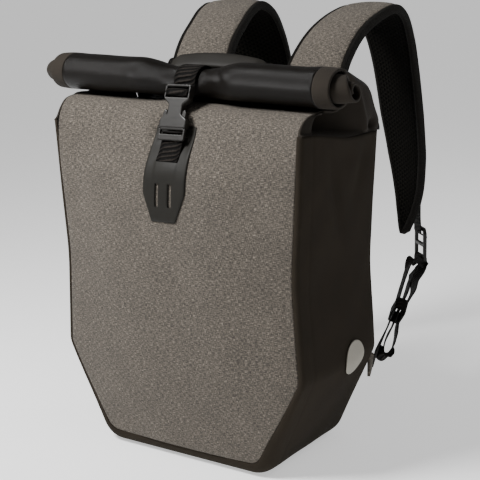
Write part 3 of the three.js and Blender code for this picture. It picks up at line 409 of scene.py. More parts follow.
def tube(name, loops, finish, node):
    """Closed loops (rows, columns, 3) joined along their length, with both ends closed to a point."""
    rows, columns = loops.shape[:2]
    girth = np.linalg.norm(np.diff(loops, axis=1, append=loops[:, :1]), axis=2).sum(1).mean()
    u, v = girth / columns, travelled(loops.mean(1))
    i, j = np.meshgrid(np.arange(rows - 1), np.arange(columns), indexing="ij")
    corner = np.stack([
        np.stack([j * u, v[i]], -1), np.stack([j * u, v[i + 1]], -1),
        np.stack([(j + 1) * u, v[i + 1]], -1), np.stack([(j + 1) * u, v[i]], -1)], 2).reshape(-1, 4, 2)
    points = np.vstack([loops.reshape(-1, 3), loops[0].mean(0)[None], loops[-1].mean(0)[None]])
    faces = grid_faces(rows, columns, wrap=True)
    j = np.arange(columns)
    k = (j + 1) % columns
    last = (rows - 1) * columns
    centre = np.full(columns, rows * columns)
    caps = np.vstack([np.stack([centre, j, k], -1), np.stack([centre + 1, last + k, last + j], -1)])
    if enclosed(points, faces) < 0:
        faces, caps, corner = faces[:, ::-1], caps[:, ::-1], corner[:, ::-1]
    flat = np.concatenate([corner.reshape(-1, 2), np.zeros((caps.size, 2))]) * MM
    return dress(solid(name, points, faces.tolist() + caps.tolist(), flat), finish, node)


def ring(centre, side, up, width, height, power=0.5, columns=16):
    """Loops in the planes of side and up: a rounded box whose cosine and sine are raised to a power."""
    angle = np.linspace(0, 2 * np.pi, columns, endpoint=False)
    u, v = np.cos(angle), np.sin(angle)
    u = np.sign(u) * np.abs(u) ** power
    v = np.sign(v) * np.abs(v) ** power
    width, height = np.broadcast_to(width, len(centre)), np.broadcast_to(height, len(centre))
    return (centre[:, None]
            + side[:, None] * (u * width[:, None] / 2)[..., None]
            + up[:, None] * (v * height[:, None] / 2)[..., None])


def ribbon(name, line, side, width, node):
    """Webbing: a flat rounded box carried along a line, its width along the side direction."""
    along = unit(np.gradient(line, axis=0))
    side = unit(side - along * (side * along).sum(1)[:, None])
    loops = ring(line, side, np.cross(side, along), width, size("webbing"), power=0.45, columns=20)
    return tube(name, loops, "tapes", node)


def plate(name, outlines, thickness, place, node, bevel):
    """A flat plate with rounded edges: outlines in its own plane, the first one outside and the
    rest holes, made solid by a filled curve and set in place by three directions and an origin."""
    flat = bpy.data.curves.new(name, "CURVE")
    flat.dimensions = "2D"
    flat.fill_mode = "BOTH"
    flat.extrude = (thickness / 2 - bevel) * MM
    flat.bevel_depth = bevel * MM
    flat.bevel_resolution = 2
    flat.offset = -bevel * MM
    for outline in outlines:
        spline = flat.splines.new("POLY")
        spline.points.add(len(outline) - 1)
        corners = np.zeros((len(outline), 4), np.float32)
        corners[:, :2] = outline * MM
        corners[:, 3] = 1
        spline.points.foreach_set("co", corners.ravel())
        spline.use_cyclic_u = True
    holder = bpy.data.objects.new(name + "_flat", flat)
    bpy.context.scene.collection.objects.link(holder)
    bpy.context.view_layer.update()
    mesh = bpy.data.meshes.new_from_object(holder.evaluated_get(bpy.context.evaluated_depsgraph_get()))
    bpy.data.objects.remove(holder)
    bpy.data.curves.remove(flat)
    co = np.zeros(len(mesh.vertices) * 3, np.float32)
    mesh.vertices.foreach_get("co", co)
    co = co.reshape(-1, 3)
    axes, origin = place
    turned = co @ np.array(axes, np.float32) + np.array(origin, np.float32) * MM
    mesh.vertices.foreach_set("co", turned.ravel())
    work = bmesh.new()
    work.from_mesh(mesh)
    bmesh.ops.remove_doubles(work, verts=work.verts, dist=1e-6)
    bmesh.ops.recalc_face_normals(work, faces=work.faces)
    work.to_mesh(mesh)
    work.free()
    mesh.name = name
    return dress(bpy.data.objects.new(name, mesh), "plastic", node, soft=False)


# ---- Finishes ----

class Finish:
    """A node material under construction; vectors are the piece's own flat pattern in metres."""

    def __init__(self, name, base, roughness, specular, sheen=0.0):
        self.material = bpy.data.materials.new(name)
        self.material.use_nodes = True
        self.tree = self.material.node_tree
        self.shader = self.tree.nodes["Principled BSDF"]
        for socket, value in (("Base Color", (*base, 1)), ("Roughness", roughness),
                              ("Specular IOR Level", specular), ("Sheen Weight", sheen)):
            self.shader.inputs[socket].default_value = value
        self.pattern = self.node("ShaderNodeUVMap", output="UV", uv_map="pattern")
        self.place = self.node("ShaderNodeTexCoord", output="Object")

    def node(self, kind, output=0, sockets=None, **settings):
        """Adds a node, sets or links its sockets, and gives one of its outputs."""
        node = self.tree.nodes.new(kind)
        for key, value in settings.items():
            setattr(node, key, value)
        for key, value in (sockets or {}).items():
            if isinstance(value, bpy.types.NodeSocket):
                self.tree.links.new(value, node.inputs[key])
            else:
                node.inputs[key].default_value = value
        return node.outputs[output]

    def math(self, operation, a, b=0.0):
        return self.node("ShaderNodeMath", sockets={0: a, 1: b}, operation=operation)

    def total(self, *parts):
        """The sum of values, each times its share."""
        whole = None
        for value, share in parts:
            part = value if share == 1 else self.math("MULTIPLY", value, share)
            whole = part if whole is None else self.math("ADD", whole, part)
        return whole

    def noise(self, by, detail=2.0, roughness=0.5, source=None):
        """Noise with so many spots per metre along each direction."""
        vector = self.node("ShaderNodeVectorMath", sockets={0: source or self.pattern, 1: by},
                           operation="MULTIPLY")
        return self.node("ShaderNodeTexNoise", sockets={
            "Vector": vector, "Scale": 1.0, "Detail": detail, "Roughness": roughness})

    def wave(self, by):
        """The sine of the pattern's dot product with a direction, in turns per metre."""
        turns = self.node("ShaderNodeVectorMath", output=1, sockets={0: self.pattern, 1: by},
                          operation="DOT_PRODUCT")
        return self.math("SINE", self.math("MULTIPLY", turns, 2 * math.pi))

    def weave(self, threads):
        """Crossed sine waves: one along the pattern times one across it."""
        return self.math("MULTIPLY", self.wave((threads, 0, 0)), self.wave((0, threads, 0)))

    def tones(self, value, tone, stops):
        """A ramp over a value: at each stop the tone times a factor, or one factor a channel."""
        node = self.tree.nodes.new("ShaderNodeValToRGB")
        self.tree.links.new(value, node.inputs[0])
        elements = node.color_ramp.elements
        while len(elements) < len(stops):
            elements.new(0.5)
        for element, (position, factor) in zip(elements, stops):
            element.position = position
            element.color = (*np.minimum(1, np.multiply(tone, factor)), 1)
        return node.outputs[0]

    def between(self, value, low, high, to_low=0.0, to_high=1.0):
        return self.node("ShaderNodeMapRange", sockets={
            "Value": value, "From Min": low, "From Max": high, "To Min": to_low, "To Max": to_high})

    def relief(self, height, distance, strength):
        return self.node("ShaderNodeBump", sockets={
            "Height": height, "Distance": distance, "Strength": strength})

    def use(self, **links):
        """Links each value to the shader's socket of that name."""
        for key, value in links.items():
            self.tree.links.new(value, self.shader.inputs[key.replace("_", " ")])


def melange_finish(name, tone):
    """Yarns of uneven tone: short streaks along the weft and the warp, over a plain weave."""
    finish = Finish(name, tone, 0.9, specular=0.15, sheen=0.05)
    weft = finish.noise((260, 1700, 1), detail=1.5, roughness=0.6)
    warp = finish.noise((1900, 300, 1), detail=1.5, roughness=0.6)
    clouds = finish.math("SUBTRACT", finish.noise((30, 30, 1)), 0.5)
    yarns = finish.total((weft, 0.56), (warp, 0.44), (clouds, 0.06))
    warm = (1.7 * 1.03, 1.7, 1.7 * 0.95)
    tones = finish.tones(yarns, tone, ((0.32, 0.28), (0.44, 0.66), (0.52, 1.04), (0.58, warm), (0.68, 3.3)))
    height = finish.total((finish.weave(1100), 0.5), (yarns, 1))
    rough = finish.between(yarns, 0.3, 0.7, 0.95, 0.8)
    finish.use(Base_Color=tones, Roughness=rough, Normal=finish.relief(height, 0.00025, 0.6))


def woven_finish(name, tone, roughness, specular, sheen=0.0, fine=0.18):
    """A fine coated cloth: crossed sine threads, with slow clouds of tone and small scuffs."""
    finish = Finish(name, tone, roughness, specular, sheen)
    clouds = finish.noise((40, 40, 40), detail=3, source=finish.place)
    grain = finish.noise((1700, 1700, 1))
    mottle = finish.total((clouds, 0.45), (grain, 0.55))
    tones = finish.tones(mottle, tone, ((0.3, 1 - fine), (0.5, 1), (0.7, 1 + 1.5 * fine)))
    rough = finish.between(mottle, 0.35, 0.65, roughness - 0.06, roughness + 0.06)
    height = finish.total((finish.weave(1300), 1), (grain, 0.8))
    finish.use(Base_Color=tones, Roughness=rough, Normal=finish.relief(height, 0.00012, 0.6))


def webbing_finish(name, tone, ribs=210, slant=0.5):
    """Woven tape: slanting ribs, whose sine is raised and lowered by finer threads across."""
    finish = Finish(name, tone, 0.75, specular=0.12)
    rib = finish.wave((ribs * slant, ribs, 0))
    grain = finish.noise((1400, 500, 1))
    # Painted light and shade: rib crests coloured lighter, grooves darker, over a random grain of tone.
    tones = finish.tones(finish.total((rib, 0.3), (grain, 1)), tone, ((0.3, 0.3), (0.5, 1), (0.8, 5)))
    height = finish.total((rib, 1), (finish.wave((1900, 0, 0)), 0.25))
    finish.use(Base_Color=tones, Normal=finish.relief(height, 0.0008, 1.0))


def mesh_finish(name, tone):
    """Spacer mesh: three sine waves at 120 degrees add up to a field of rounded six-sided cells."""
    finish = Finish(name, tone, 0.9, specular=0.04)
    cells = 230
    waves = [finish.wave((cells * math.cos(a), cells * math.sin(a), 0))
             for a in (0, 2 * math.pi / 3, 4 * math.pi / 3)]
    cell_hollows = finish.between(finish.total(*((wave, 1) for wave in waves)), -0.6, 1.4)
    # Painted shade: the cells' hollows are coloured dark and the mesh between them light.
    tones = finish.tones(cell_hollows, tone, ((0.0, 2.6), (0.35, 1.6), (0.7, 0.25)))
    grain = finish.noise((2200, 2200, 1), detail=1)
    height = finish.math("SUBTRACT", finish.math("MULTIPLY", grain, 0.3), cell_hollows)
    finish.use(Base_Color=tones, Normal=finish.relief(height, 0.0012, 0.9))


def plastic_finish(name, tone):
    """Moulded plastic: fine spark-eroded grain and faint scratches along the part."""
    finish = Finish(name, tone, 0.42, specular=0.28)
    grain = finish.noise((3000, 3000, 3000), source=finish.place)
    scuff = finish.noise((90, 90, 600), detail=3, source=finish.place)
    rough = finish.between(scuff, 0.3, 0.7, 0.36, 0.52)
    tones = finish.tones(scuff, tone, ((0.3, 0.85), (0.7, 1.2)))
    finish.use(Base_Color=tones, Roughness=rough, Normal=finish.relief(grain, 0.00006, 0.4))


def coated_finish(name, tone):
    """Rubber-coated cloth: a dull skin with fine pebbles and slow clouds of tone."""
    finish = Finish(name, tone, 0.62, specular=0.2)
    pebbles = finish.noise((1100, 1100, 1100), detail=3, source=finish.place)
    clouds = finish.noise((60, 60, 60), source=finish.place)
    mottle = finish.total((pebbles, 0.5), (clouds, 0.5))
    tones = finish.tones(mottle, tone, ((0.3, 0.78), (0.55, 1), (0.75, 1.3)))
    rough = finish.between(clouds, 0.3, 0.7, 0.55, 0.7)
    finish.use(Base_Color=tones, Roughness=rough, Normal=finish.relief(pebbles, 0.00018, 0.5))


def reflective_finish(name, tone):
    """Grey reflective film: a fine bead grain that breaks up its gloss."""
    finish = Finish(name, tone, 0.5, specular=0.6)
    beads = finish.noise((2600, 2600, 2600), detail=1, source=finish.place)
    tones = finish.tones(beads, tone, ((0.35, 0.9), (0.65, 1.08)))
    finish.use(Base_Color=tones, Normal=finish.relief(beads, 0.00005, 0.4))


FINISHES = {
    "melange": (melange_finish, {}),
    "walls": (woven_finish, {"roughness": 0.75, "specular": 0.03}),
    "satin": (woven_finish, {"roughness": 0.34, "specular": 0.17, "fine": 0.1}),
    "matte": (woven_finish, {"roughness": 0.78, "specular": 0.12, "sheen": 0.02}),
    "coated": (coated_finish, {}),
    "grip": (coated_finish, {}),
    "tapes": (webbing_finish, {}),
    "edging": (webbing_finish, {"ribs": 900, "slant": 0.0}),
    "spacer": (mesh_finish, {}),
    "plastic": (plastic_finish, {}),
    "reflective": (reflective_finish, {}),
}


def finish_of(name):
    """The finished material of that name, made once."""
    if name not in bpy.data.materials:
        maker, settings = FINISHES[name]
        maker(name, colour(name), **settings)
    return bpy.data.materials[name]


# ---- The body's shape ----

def half_outline():
    """The right-hand half of the front view, from the crease down and in along the base."""
    top = (size("crease_width") / 2, size("crease_height"), 0)
    return evenly(rounded([top, WAIST, HIP, BASE, (0, 0, 0)], steps=14), OUTLINE_STEP)


def inward(line):
    """A line's direction turned a quarter, towards the inside of the body."""
    along = unit(np.gradient(line, axis=0))
    return np.stack([along[:, 1], -along[:, 0]], -1)


def wall_inset(z, y):
    """The base lifts with the sixth power of the way past its flat; the sides swell as a parabola."""
    half = size("depth") / 2
    past = np.clip((np.abs(y) - BASE_FLAT) / (half - BASE_FLAT), 0, None)
    low = 1 - smooth(z / HIP[1])
    return BASE_SAG * low * past**6 - size("side_bulge") * (1 - (y / half) ** 2) * (1 - low)


def panel_edge(y, inset):
    """The right-hand edge of a flat panel in the outline, from the base up to the crease."""
    line = half_outline()
    total = inset + wall_inset(line[:, 1], np.full(len(line), float(y)))
    moved = line + inward(line) * total[:, None]
    flat = int(np.argmax(line[:, 1] < 1e-6))
    return moved[: flat + 1][::-1]


def front_depths(z):
    """Depth of the front panel's edge and middle at a height, by smooth cubic pieces."""
    line, _ = curve(FRONT_PROFILE, 0, even=False)
    height = np.maximum.accumulate(line[:, 0] + np.arange(len(line)) * 1e-9)
    return np.interp(z, height, line[:, 1]), np.interp(z, height, line[:, 2])


def front_surface(x, z, edge_x, depths=None):
    """Depth at a place: the edge's and middle's depth mixed by one less the share to the power 2.5,
    with the dents that the webbing, the load and the folds leave."""
    edge, middle = front_depths(z) if depths is None else depths
    share = np.abs(x) / edge_x
    y = mix(edge, middle, 1 - share**2.5)
    depth, width, height, tall = DENT
    y = y + depth * np.exp(-((x / width) ** 4) - ((z - height) / tall) ** 2)
    folds = sum(fold(z, x, *row) for row in FRONT_FOLDS)
    return y + (1 - share**6) * (folds + ripple(x, z, 4, 0.7, 90))


def front_edge():
    """The front panel's right-hand edge, from the base up to the crease."""
    return panel_edge(-size("depth") / 2, FRONT_CORNER + LIP + GAP)


def front_panel_grid():
    """Rows across the panel, up its edge and then over the shoulder, closer together at the sides."""
    edge = front_edge()
    upper = curve(FRONT_PROFILE[7:], 26)[0][1:]
    top_x = size("crease_width") / 2 - FRONT_CORNER - LIP - GAP
    z = np.concatenate([edge[:, 1], upper[:, 0]])
    edge_x = np.concatenate([edge[:, 0], np.full(len(upper), top_x)])
    low = front_depths(edge[:, 1])
    depths = [np.concatenate([low[k], upper[:, k + 1]])[:, None] for k in (0, 1)]
    even = np.linspace(-1, 1, 121)
    x = edge_x[:, None] * (np.sin(even * np.pi / 2) * 0.35 + even * 0.65)
    z = z[:, None] + 0 * x
    return np.stack([x, front_surface(x, z, edge_x[:, None], depths), z], -1)


def crease_rise(y):
    """The side's top edge climbs towards the front, by a smooth step."""
    return SIDE_RISE * smooth((20 - y) / (size("depth") / 2 + 20))


def side_band_grid():
    """The outline carried across the depth, with rounded corners to the front and the back."""
    right = half_outline()
    line = np.vstack([right, right[-2::-1] * (-1, 1)])
    into = inward(line)
    into[0], into[-1] = (-1, 0), (1, 0)
    half = size("depth") / 2
    turn = np.linspace(0, np.pi / 2, 6)
    front = np.stack([FRONT_CORNER * (1 - np.cos(turn)) - half, FRONT_CORNER * (1 - np.sin(turn))], -1)
    back = np.stack([half - BACK_CORNER * (1 - np.cos(turn)), BACK_CORNER * (1 - np.sin(turn))], -1)
    flat = np.linspace(-half + FRONT_CORNER, half - BACK_CORNER, 52)[1:-1]
    stations = np.vstack([(-half, FRONT_CORNER + LIP), front, np.stack([flat, 0 * flat], -1),
                          back[::-1], (half, BACK_CORNER + LIP)])
    y, inset = stations[:, 0][None], stations[:, 1][None]
    x, z = line[:, :1], line[:, 1:]
    middle = smooth((half - np.abs(y)) / 12)
    sides = smooth(np.abs(x) / 120)
    welt = 0.5 * hump(y, 19 - half, 1.2)
    folds = sum((fold(y, z, *row) for row in SIDE_FOLDS), fold(y, z, *RIGHT_FOLD) * (x > 0))
    swell = middle * (welt + (folds + ripple(y, z, 9, 0.5, 70)) * sides)
    total = inset + wall_inset(z, y) + swell
    climb = crease_rise(y) * smooth(z / size("crease_height") * 5 - 4)
    return np.stack([x + into[:, :1] * total, y + 0 * total, z + into[:, 1:] * total + climb], -1)


def roll_oval(x):
    """Half depth and half height of the roll, drawn in smoothly where the webbing crosses it."""
    free = smooth((np.abs(x) - PINCH_HALF) / (PINCH_REACH - PINCH_HALF))
    a = size("roll_depth") / 2 * mix(PINCH_DEPTH, 1, free)
    b = size("roll_height") / 2 * mix(PINCH_HEIGHT, 1, free)
    return a, b


def roll_place(x, angle, shrink=1.0):
    """A flat spiral: an oval whose reach falls evenly with each turn."""
    a, b = roll_oval(x)
    turns = (angle - ROLL_START) / (2 * np.pi)
    reach = (1 - turns * ROLL_PITCH / (size("roll_depth") / 2)) * shrink
    y = ROLL_BACK - a + a * reach * np.cos(angle)
    z = ROLL_BOTTOM + b + b * reach * np.sin(angle)
    return np.stack(np.broadcast_arrays(x, y, z), -1)


def roll_angles(count):
    return ROLL_START + np.linspace(0, ROLL_TURNS * 2 * np.pi, count)


def roof_rows(x, count):
    """The roof's lines mixed between its ends and its middle by the square of the way across."""
    line, _ = curve(ROOF, count)
    end = (x / ROLL_HALF) ** 2
    y = mix(line[:, 2:3], line[:, 0:1], end)
    z = mix(line[:, 3:4], line[:, 1:2], end)
    return np.stack(np.broadcast_arrays(x, y, z), -1)


def roll_grid():
    """The roof, sagging between its ends, and then the spiral, with dents in its outer turn."""
    x = np.linspace(-ROLL_HALF, ROLL_HALF, 131)[None]
    roof = roof_rows(x, 34)
    angle = roll_angles(110)[:, None]
    spiral = roll_place(x, angle)
    turns = (angle - ROLL_START) / (2 * np.pi)
    outer = smooth((1.05 - turns) / 0.2) * smooth((ROLL_HALF - np.abs(x)) / 20)
    swell = ripple(x, angle * 22, 12, 0.5, 80) + fold(x, angle, 1.5, 40, 5, 2.4, 0.7, -10, 2.5)
    away = unit(spiral - spiral.mean(0, keepdims=True))
    spiral = spiral - away * (outer * np.clip(swell + 0.6, 0, 2.5))[..., None]
    height = roof[..., 2]
    low, high = ROOF_LEVEL
    sag = ripple(x, roof[..., 1], 7, 1.1, 70) * smooth((height - low) / 14) * smooth((high - height) / 14)
    roof[..., 2] = height - np.abs(sag)
    return np.vstack([roof, spiral])


def roll_end_grid():
    """The spiral past the seam: the outer turn ends first, the inner ones reach further and narrow."""
    angle = roll_angles(110)[:, None]
    wound = (angle - ROLL_START) / (2 * np.pi)
    short, far = END_REACH
    out = mix(short, far, smooth((wound - 0.85) / 0.5)) * np.linspace(0, 1, 15)[None]
    shrink = 1 - 0.18 * (out / 32) ** 2 - 0.08 * hump(out, 32, 8) * (1 + np.sin(2 * angle + 0.6))
    return roll_place(ROLL_HALF + GAP + out, angle, shrink)


def patch_between(low, top, left, right):
    """A surface from four boundary lines: both pairs mixed, less the mix of the four corners."""
    s = np.linspace(0, 1, len(low))[None, :, None]
    t = np.linspace(0, 1, len(left))[:, None, None]
    across = mix(low[None], top[None], t)
    up = mix(left[:, None], right[:, None], s)
    corners = mix(mix(low[0], low[-1], s), mix(top[0], top[-1], s), t)
    return across + up - corners, s[..., 0], t[..., 0]


def side_tuck_grid():
    """A tucked side: a surface between its low edge, the front seam, the collar's edge and the back.
    It is drawn in by a deep fold behind the front strip, with a ridge and a hollow further back."""
    outer, half = size("crease_width") / 2, size("depth") / 2
    x = ROLL_HALF + 2.5

    def under(row):
        return (x, row[0] - 1.3, row[1] - 3.6)

    front = [(outer - 4, edge - 0.6, height) for height, edge, _ in FRONT_PROFILE[9:]]
    depths = np.linspace(-half + LIP, half - LIP - BACK_CORNER / 2, 121)
    heights = size("crease_height") + 0.1 + crease_rise(depths)
    low = np.stack([0 * depths + outer - GAP, depths, heights], -1)
    top = [front[-1], (x - 0.5, ROLL_BACK - 2.6, ROLL_BOTTOM - 0.5),
           (x - 0.5, ROLL_BACK + 2.6, ROLL_BOTTOM + 12)]
    top, _ = curve(top + [under(row) for row in ROOF[:2:-1]], 121)
    left, _ = curve([tuple(low[0]), (outer - 2.8, -69.9, low[0, 2] + 2.4)] + front, 49)
    right, _ = curve([tuple(low[-1])] + [under(row) for row in ROOF[2:4]], 49)
    grid, s, t = patch_between(low, top, left, right)
    inside = smooth(t / 0.1) * smooth((1 - t) / 0.3)
    strip = SEAM_BAND / size("depth") * (1 - 0.9 * t)
    tuck = TUCK_DEPTH * smooth((s - strip) / 0.05) * smooth((0.85 - s) / 0.7) * inside
    ridge = -3 * hump(s + 0.12 * t, 0.82, 0.035) * inside
    hollow = fold(s, t, 7, 0.91, 0.035, 0.2, 0.13)
    grid[..., 0] -= tuck + ridge + hollow
    return grid


# ---- The panel's sizes and colours ----

def distance(name, description, default):
    return FloatProperty(name=name, description=description, default=default,
                         subtype="DISTANCE", unit="LENGTH")


def tint(name, description, default):
    return FloatVectorProperty(name=name, description=description, default=default,
                               subtype="COLOR", min=0, max=1)


class BagSizes(bpy.types.PropertyGroup):
    """The sizes that a user would change."""
    depth: distance("Depth", "Body depth at the sides", 0.144)
    crease_width: distance("Crease width", "Width at the top crease", 0.291)
    crease_height: distance("Crease height", "Height of the top crease", 0.317)
    top_tilt: distance("Top tilt", "How much lower the rolled top hangs at the crease's right end", 0.005)
    side_bulge: distance("Side bulge", "How far the sides swell", 0.002)
    cloth: distance("Cloth", "Thickness of the body's cloth wall", 0.002)
    roll_depth: distance("Roll depth", "Depth of the rolled top", 0.048)
    roll_height: distance("Roll height", "Height of the rolled top", 0.040)
    patch_length: distance("Patch length", "Length of the front patch", 0.087)
    patch_width: distance("Patch width", "Widest place of the front patch", 0.049)
    webbing_width: distance("Webbing width", "Width of the closure webbing", 0.025)
    webbing: distance("Webbing", "Thickness of all webbing", 0.0016)
    buckle_width: distance("Buckle width", "Width of the side-release buckle", 0.031)
    handle_length: distance("Handle length", "Length of the padded grip", 0.108)
    strap_thickness: distance("Strap thickness", "Thickness of the shoulder straps", 0.0095)
    disc: distance("Disc", "Diameter of the reflective disc", 0.034)


class BagColours(bpy.types.PropertyGroup):
    """The colours of the finishes."""
    melange: tint("Melange", "Mean tone of the front cloth", (0.080, 0.070, 0.059))
    walls: tint("Side cloth", "Tone of the sides and the back", (0.0233, 0.0189, 0.0141))
    satin: tint("Roll", "Tone of the rolled satin", (0.0030, 0.0021, 0.0014))
    matte: tint("Roll ends", "Tone of the matte ends and tucks", (0.0205, 0.0165, 0.0125))
    coated: tint("Patch", "Tone of the coated patch", (0.0085, 0.0076, 0.0056))
    grip: tint("Grip", "Tone of the carrying handle's grip", (0.0110, 0.0096, 0.0076))
    tapes: tint("Webbing", "Tone of the webbing", (0.0042, 0.0034, 0.0028))
    edging: tint("Binding", "Tone of the strap binding", (0.0075, 0.0066, 0.0055))
    spacer: tint("Spacer mesh", "Tone of the mesh under the straps", (0.0022, 0.0020, 0.0016))
    plastic: tint("Plastic", "Tone of buckles and locks", (0.0120, 0.0108, 0.0092))
    reflective: tint("Disc", "Tone of the reflective disc", (0.27, 0.25, 0.205))


# ---- Operators ----

class BAG_OT_camera(bpy.types.Operator):
    """Set the camera where the photograph was taken from"""
    bl_idname = "bag.camera"
    bl_label = "Camera"

    def execute(self, context):
        azimuth, elevation, roll = CAMERA_TURNS
        back = np.array((math.sin(azimuth) * math.cos(elevation),
                         -math.cos(azimuth) * math.cos(elevation), math.sin(elevation)))
        right = unit(np.cross(-back, (0, 0, 1)))
        up = np.cross(right, -back)
        across = math.cos(roll) * right + math.sin(roll) * up
        over = -math.sin(roll) * right + math.cos(roll) * up
        lens = bpy.data.cameras.new("camera")
        lens.sensor_width = SENSOR
        lens.lens = SENSOR * FOCAL_PIXELS / PICTURE_PIXELS
        camera = bpy.data.objects.new("camera", lens)
        matrix = np.eye(4)
        matrix[:3] = np.stack([across, over, back, CAMERA_AIM + back * CAMERA_DISTANCE], -1)
        context.scene.collection.objects.link(camera)
        camera.matrix_world = Matrix(matrix.tolist())
        context.scene.camera = camera
        return {"FINISHED"}


class BAG_OT_front_panel(bpy.types.Operator):
    """Make the front panel of melange cloth"""
    bl_idname = "bag.front_panel"
    bl_label = "Front panel"

    def execute(self, context):
        grid = front_panel_grid()
        flat = lengths(grid)
        flat[..., 0] = grid[..., 0] * MM
        cloth("front_panel_cloth", grid, size("cloth"), "melange", "melange_cloth", "front_panel",
              pattern=flat)
        return {"FINISHED"}


class BAG_OT_body(bpy.types.Operator):
    """Make the black side band and the back panel"""
    bl_idname = "bag.body"
    bl_label = "Sides and back"

    def execute(self, context):
        cloth("side_band_cloth", side_band_grid(), -size("cloth"), "walls", "black_cloth", "side_band")
        cloth("back_panel_cloth", self.back_grid(), -BACK_THICKNESS, "walls", "black_cloth", "back_panel")
        return {"FINISHED"}

    def back_grid(self):
        """Rows across the back, pressed in by quilted channels up its middle and every 72 mm across,
        and by a seam along its edge."""
        half = size("depth") / 2
        edge = panel_edge(half, BACK_CORNER + LIP + GAP)
        edge[:, 1] = np.minimum(edge[:, 1], size("crease_height") - GAP)
        x = edge[:, :1] * np.linspace(-1, 1, 81)[None]
        z = edge[:, 1:] + 0 * x
        margin = np.abs(edge[:, :1]) - np.abs(x)
        inner = smooth(margin / 14) * smooth((z - 30) / 14) * smooth((312 - z) / 14)
        channels = 1.6 * hump(x, 0, 6) + 1.2 * hump(z % 72, 36, 3) * smooth((np.abs(x) - 8) / 6)
        return np.stack([x, half - inner * channels - 1.2 * hump(margin, 9, 1.6), z], -1)


class BAG_OT_roll(bpy.types.Operator):
    """Make the rolled top, its ends and the tucked sides"""
    bl_idname = "bag.roll"
    bl_label = "Rolled top"

    def execute(self, context):
        cloth("roll_top_cloth", roll_grid(), ROLL_CLOTH, "satin", "satin_cloth", "roll_top", across=True)
        end, tuck = roll_end_grid(), side_tuck_grid()
        for side, sign in SIDES:
            turn = (sign, 1, 1)
            cloth(f"roll_end_cloth_{side}", end * turn, ROLL_CLOTH, "matte", "matte_cloth",
                  f"roll_end_{side}", across=True)
            cloth(f"side_tuck_cloth_{side}", tuck * turn, sign * size("cloth"), "matte", "matte_cloth",
                  f"side_tuck_{side}")
        return {"FINISHED"}


def front_y(x, z):
    """The front panel's depth at a place."""
    edge = front_edge()
    return front_surface(x, z, np.interp(z, edge[:, 1], edge[:, 0]))


class BAG_OT_patch(bpy.types.Operator):
    """Make the coated patch with its two slots and its stitches"""
    bl_idname = "bag.patch"
    bl_label = "Patch"

    def execute(self, context):
        length, band = size("patch_length"), 12.5
        drops = np.unique(np.concatenate([
            np.linspace(0, length, 45), PATCH_SLOTS, PATCH_SEAM + np.array((-0.8, 0, 0.8))]))
        half = np.interp(drops / length, *PATCH_PROFILE.T) * size("patch_width") / 2
        inner = np.array([0, 3, 5.5, 7.5, 9.5, 11, band])
        right = band + (half[:, None] - band) * np.linspace(0, 1, 8)[1:]
        right = np.hstack([np.broadcast_to(inner, (len(drops), len(inner))), right])
        x = np.hstack([-right[:, :0:-1], right])
        down = drops[:, None]
        z = PATCH_TOP - down + 0 * x
        raised = 1.1 * smooth((band + 1 - np.abs(x)) / 2)
        raised = raised * smooth((down - 29) / 1.5) * smooth((54 - down) / 18)
        rim = smooth((half[:, None] - np.abs(x)) / 1.2) * smooth((length - down) / 1.2) * smooth(down / 1.2)
        stitch = 0.5 * hump(down, PATCH_SEAM + 1, 0.6) * (np.abs(x) < 12) + 0.4 * hump(down, PATCH_FOLD, 0.9)
        y = front_y(x, z) - PATCH_GAP
        face = np.stack([x, y - (PATCH_RISE - 0.7 * (1 - rim) + raised - stitch), z], -1)
        centre_x = (x[:-1, :-1] + x[1:, 1:]) / 2
        dropped = PATCH_TOP - (z[:-1, :-1] + z[1:, 1:]) / 2
        slots = np.abs(np.abs(centre_x) - SLOT_PLACE) < 2
        slots &= (dropped > PATCH_SLOTS[0]) & (dropped < PATCH_SLOTS[1])
        faces = grid_faces(*x.shape)[~slots.ravel()]
        shell("patch_coated", face, np.stack([x, y, z], -1), faces, lengths(face),
              "coated", "patch")
        return {"FINISHED"}


def buckle_place(down, out=0.0):
    """A place so far down along the buckle, and so far out of its middle plane."""
    out = np.asarray(out) - BUCKLE_DEPTH / 2
    return BUCKLE_ORIGIN + np.multiply.outer(down, BUCKLE_DOWN) + np.multiply.outer(out, BUCKLE_OUT)


def box_outline(half, low, high, radius=0.8):
    """A rectangle with rounded corners, as wide to either side."""
    corners = [(-half, low, radius), (half, low, radius), (half, high, radius), (-half, high, radius)]
    return rounded(corners, closed=True, steps=5)


def mirrored(corners):
    """Corners and, in the opposite order, their mirror images."""
    return corners + [(-x, y, radius) for x, y, radius in corners[::-1]]


class BAG_OT_buckle(bpy.types.Operator):
    """Make both halves of the side-release buckle"""
    bl_idname = "bag.buckle"
    bl_label = "Buckle"

    def execute(self, context):
        half = size("buckle_width") / 2
        slot = size("webbing_width") / 2 + 0.5
        axes = (np.array((1, 0, 0)), BUCKLE_DOWN, -BUCKLE_OUT)
        side = [(half - 1.3, 0, 1.5), (half - 0.8, 14.5, 3), (8.2, 19.5, 3), (8.2, 28.5, 3),
                (half, 33, 3), (half, 42, 1)]
        outlines = [rounded(mirrored(side), closed=True, steps=6), box_outline(slot, 2.6, 6.4),
                    box_outline(slot, 9, 12.4)]
        plate("buckle_female_body", outlines, BUCKLE_DEPTH, (axes, buckle_place(0.0)), "buckle_female", 1.4)
        inner = half - 2.1
        side = [(inner, 27, 1.5), (inner, 42.3, 0.1), (half, 42.3, 0.8), (half, 53.6, 2)]
        prongs = [(2 - inner, 23.5, 1), (4.5 - inner, 26, 1), (4.5 - inner, 40, 1),
                  (inner - 4.5, 40, 1), (inner - 4.5, 26, 1), (inner - 2, 23.5, 1)]
        outlines = [rounded(mirrored(side) + prongs, closed=True, steps=4), box_outline(slot, 43.4, 47.8)]
        plate("buckle_male_body", outlines, 3.2, (axes, buckle_place(0.0, 1.2)), "buckle_male", 0.9)
        return {"FINISHED"}


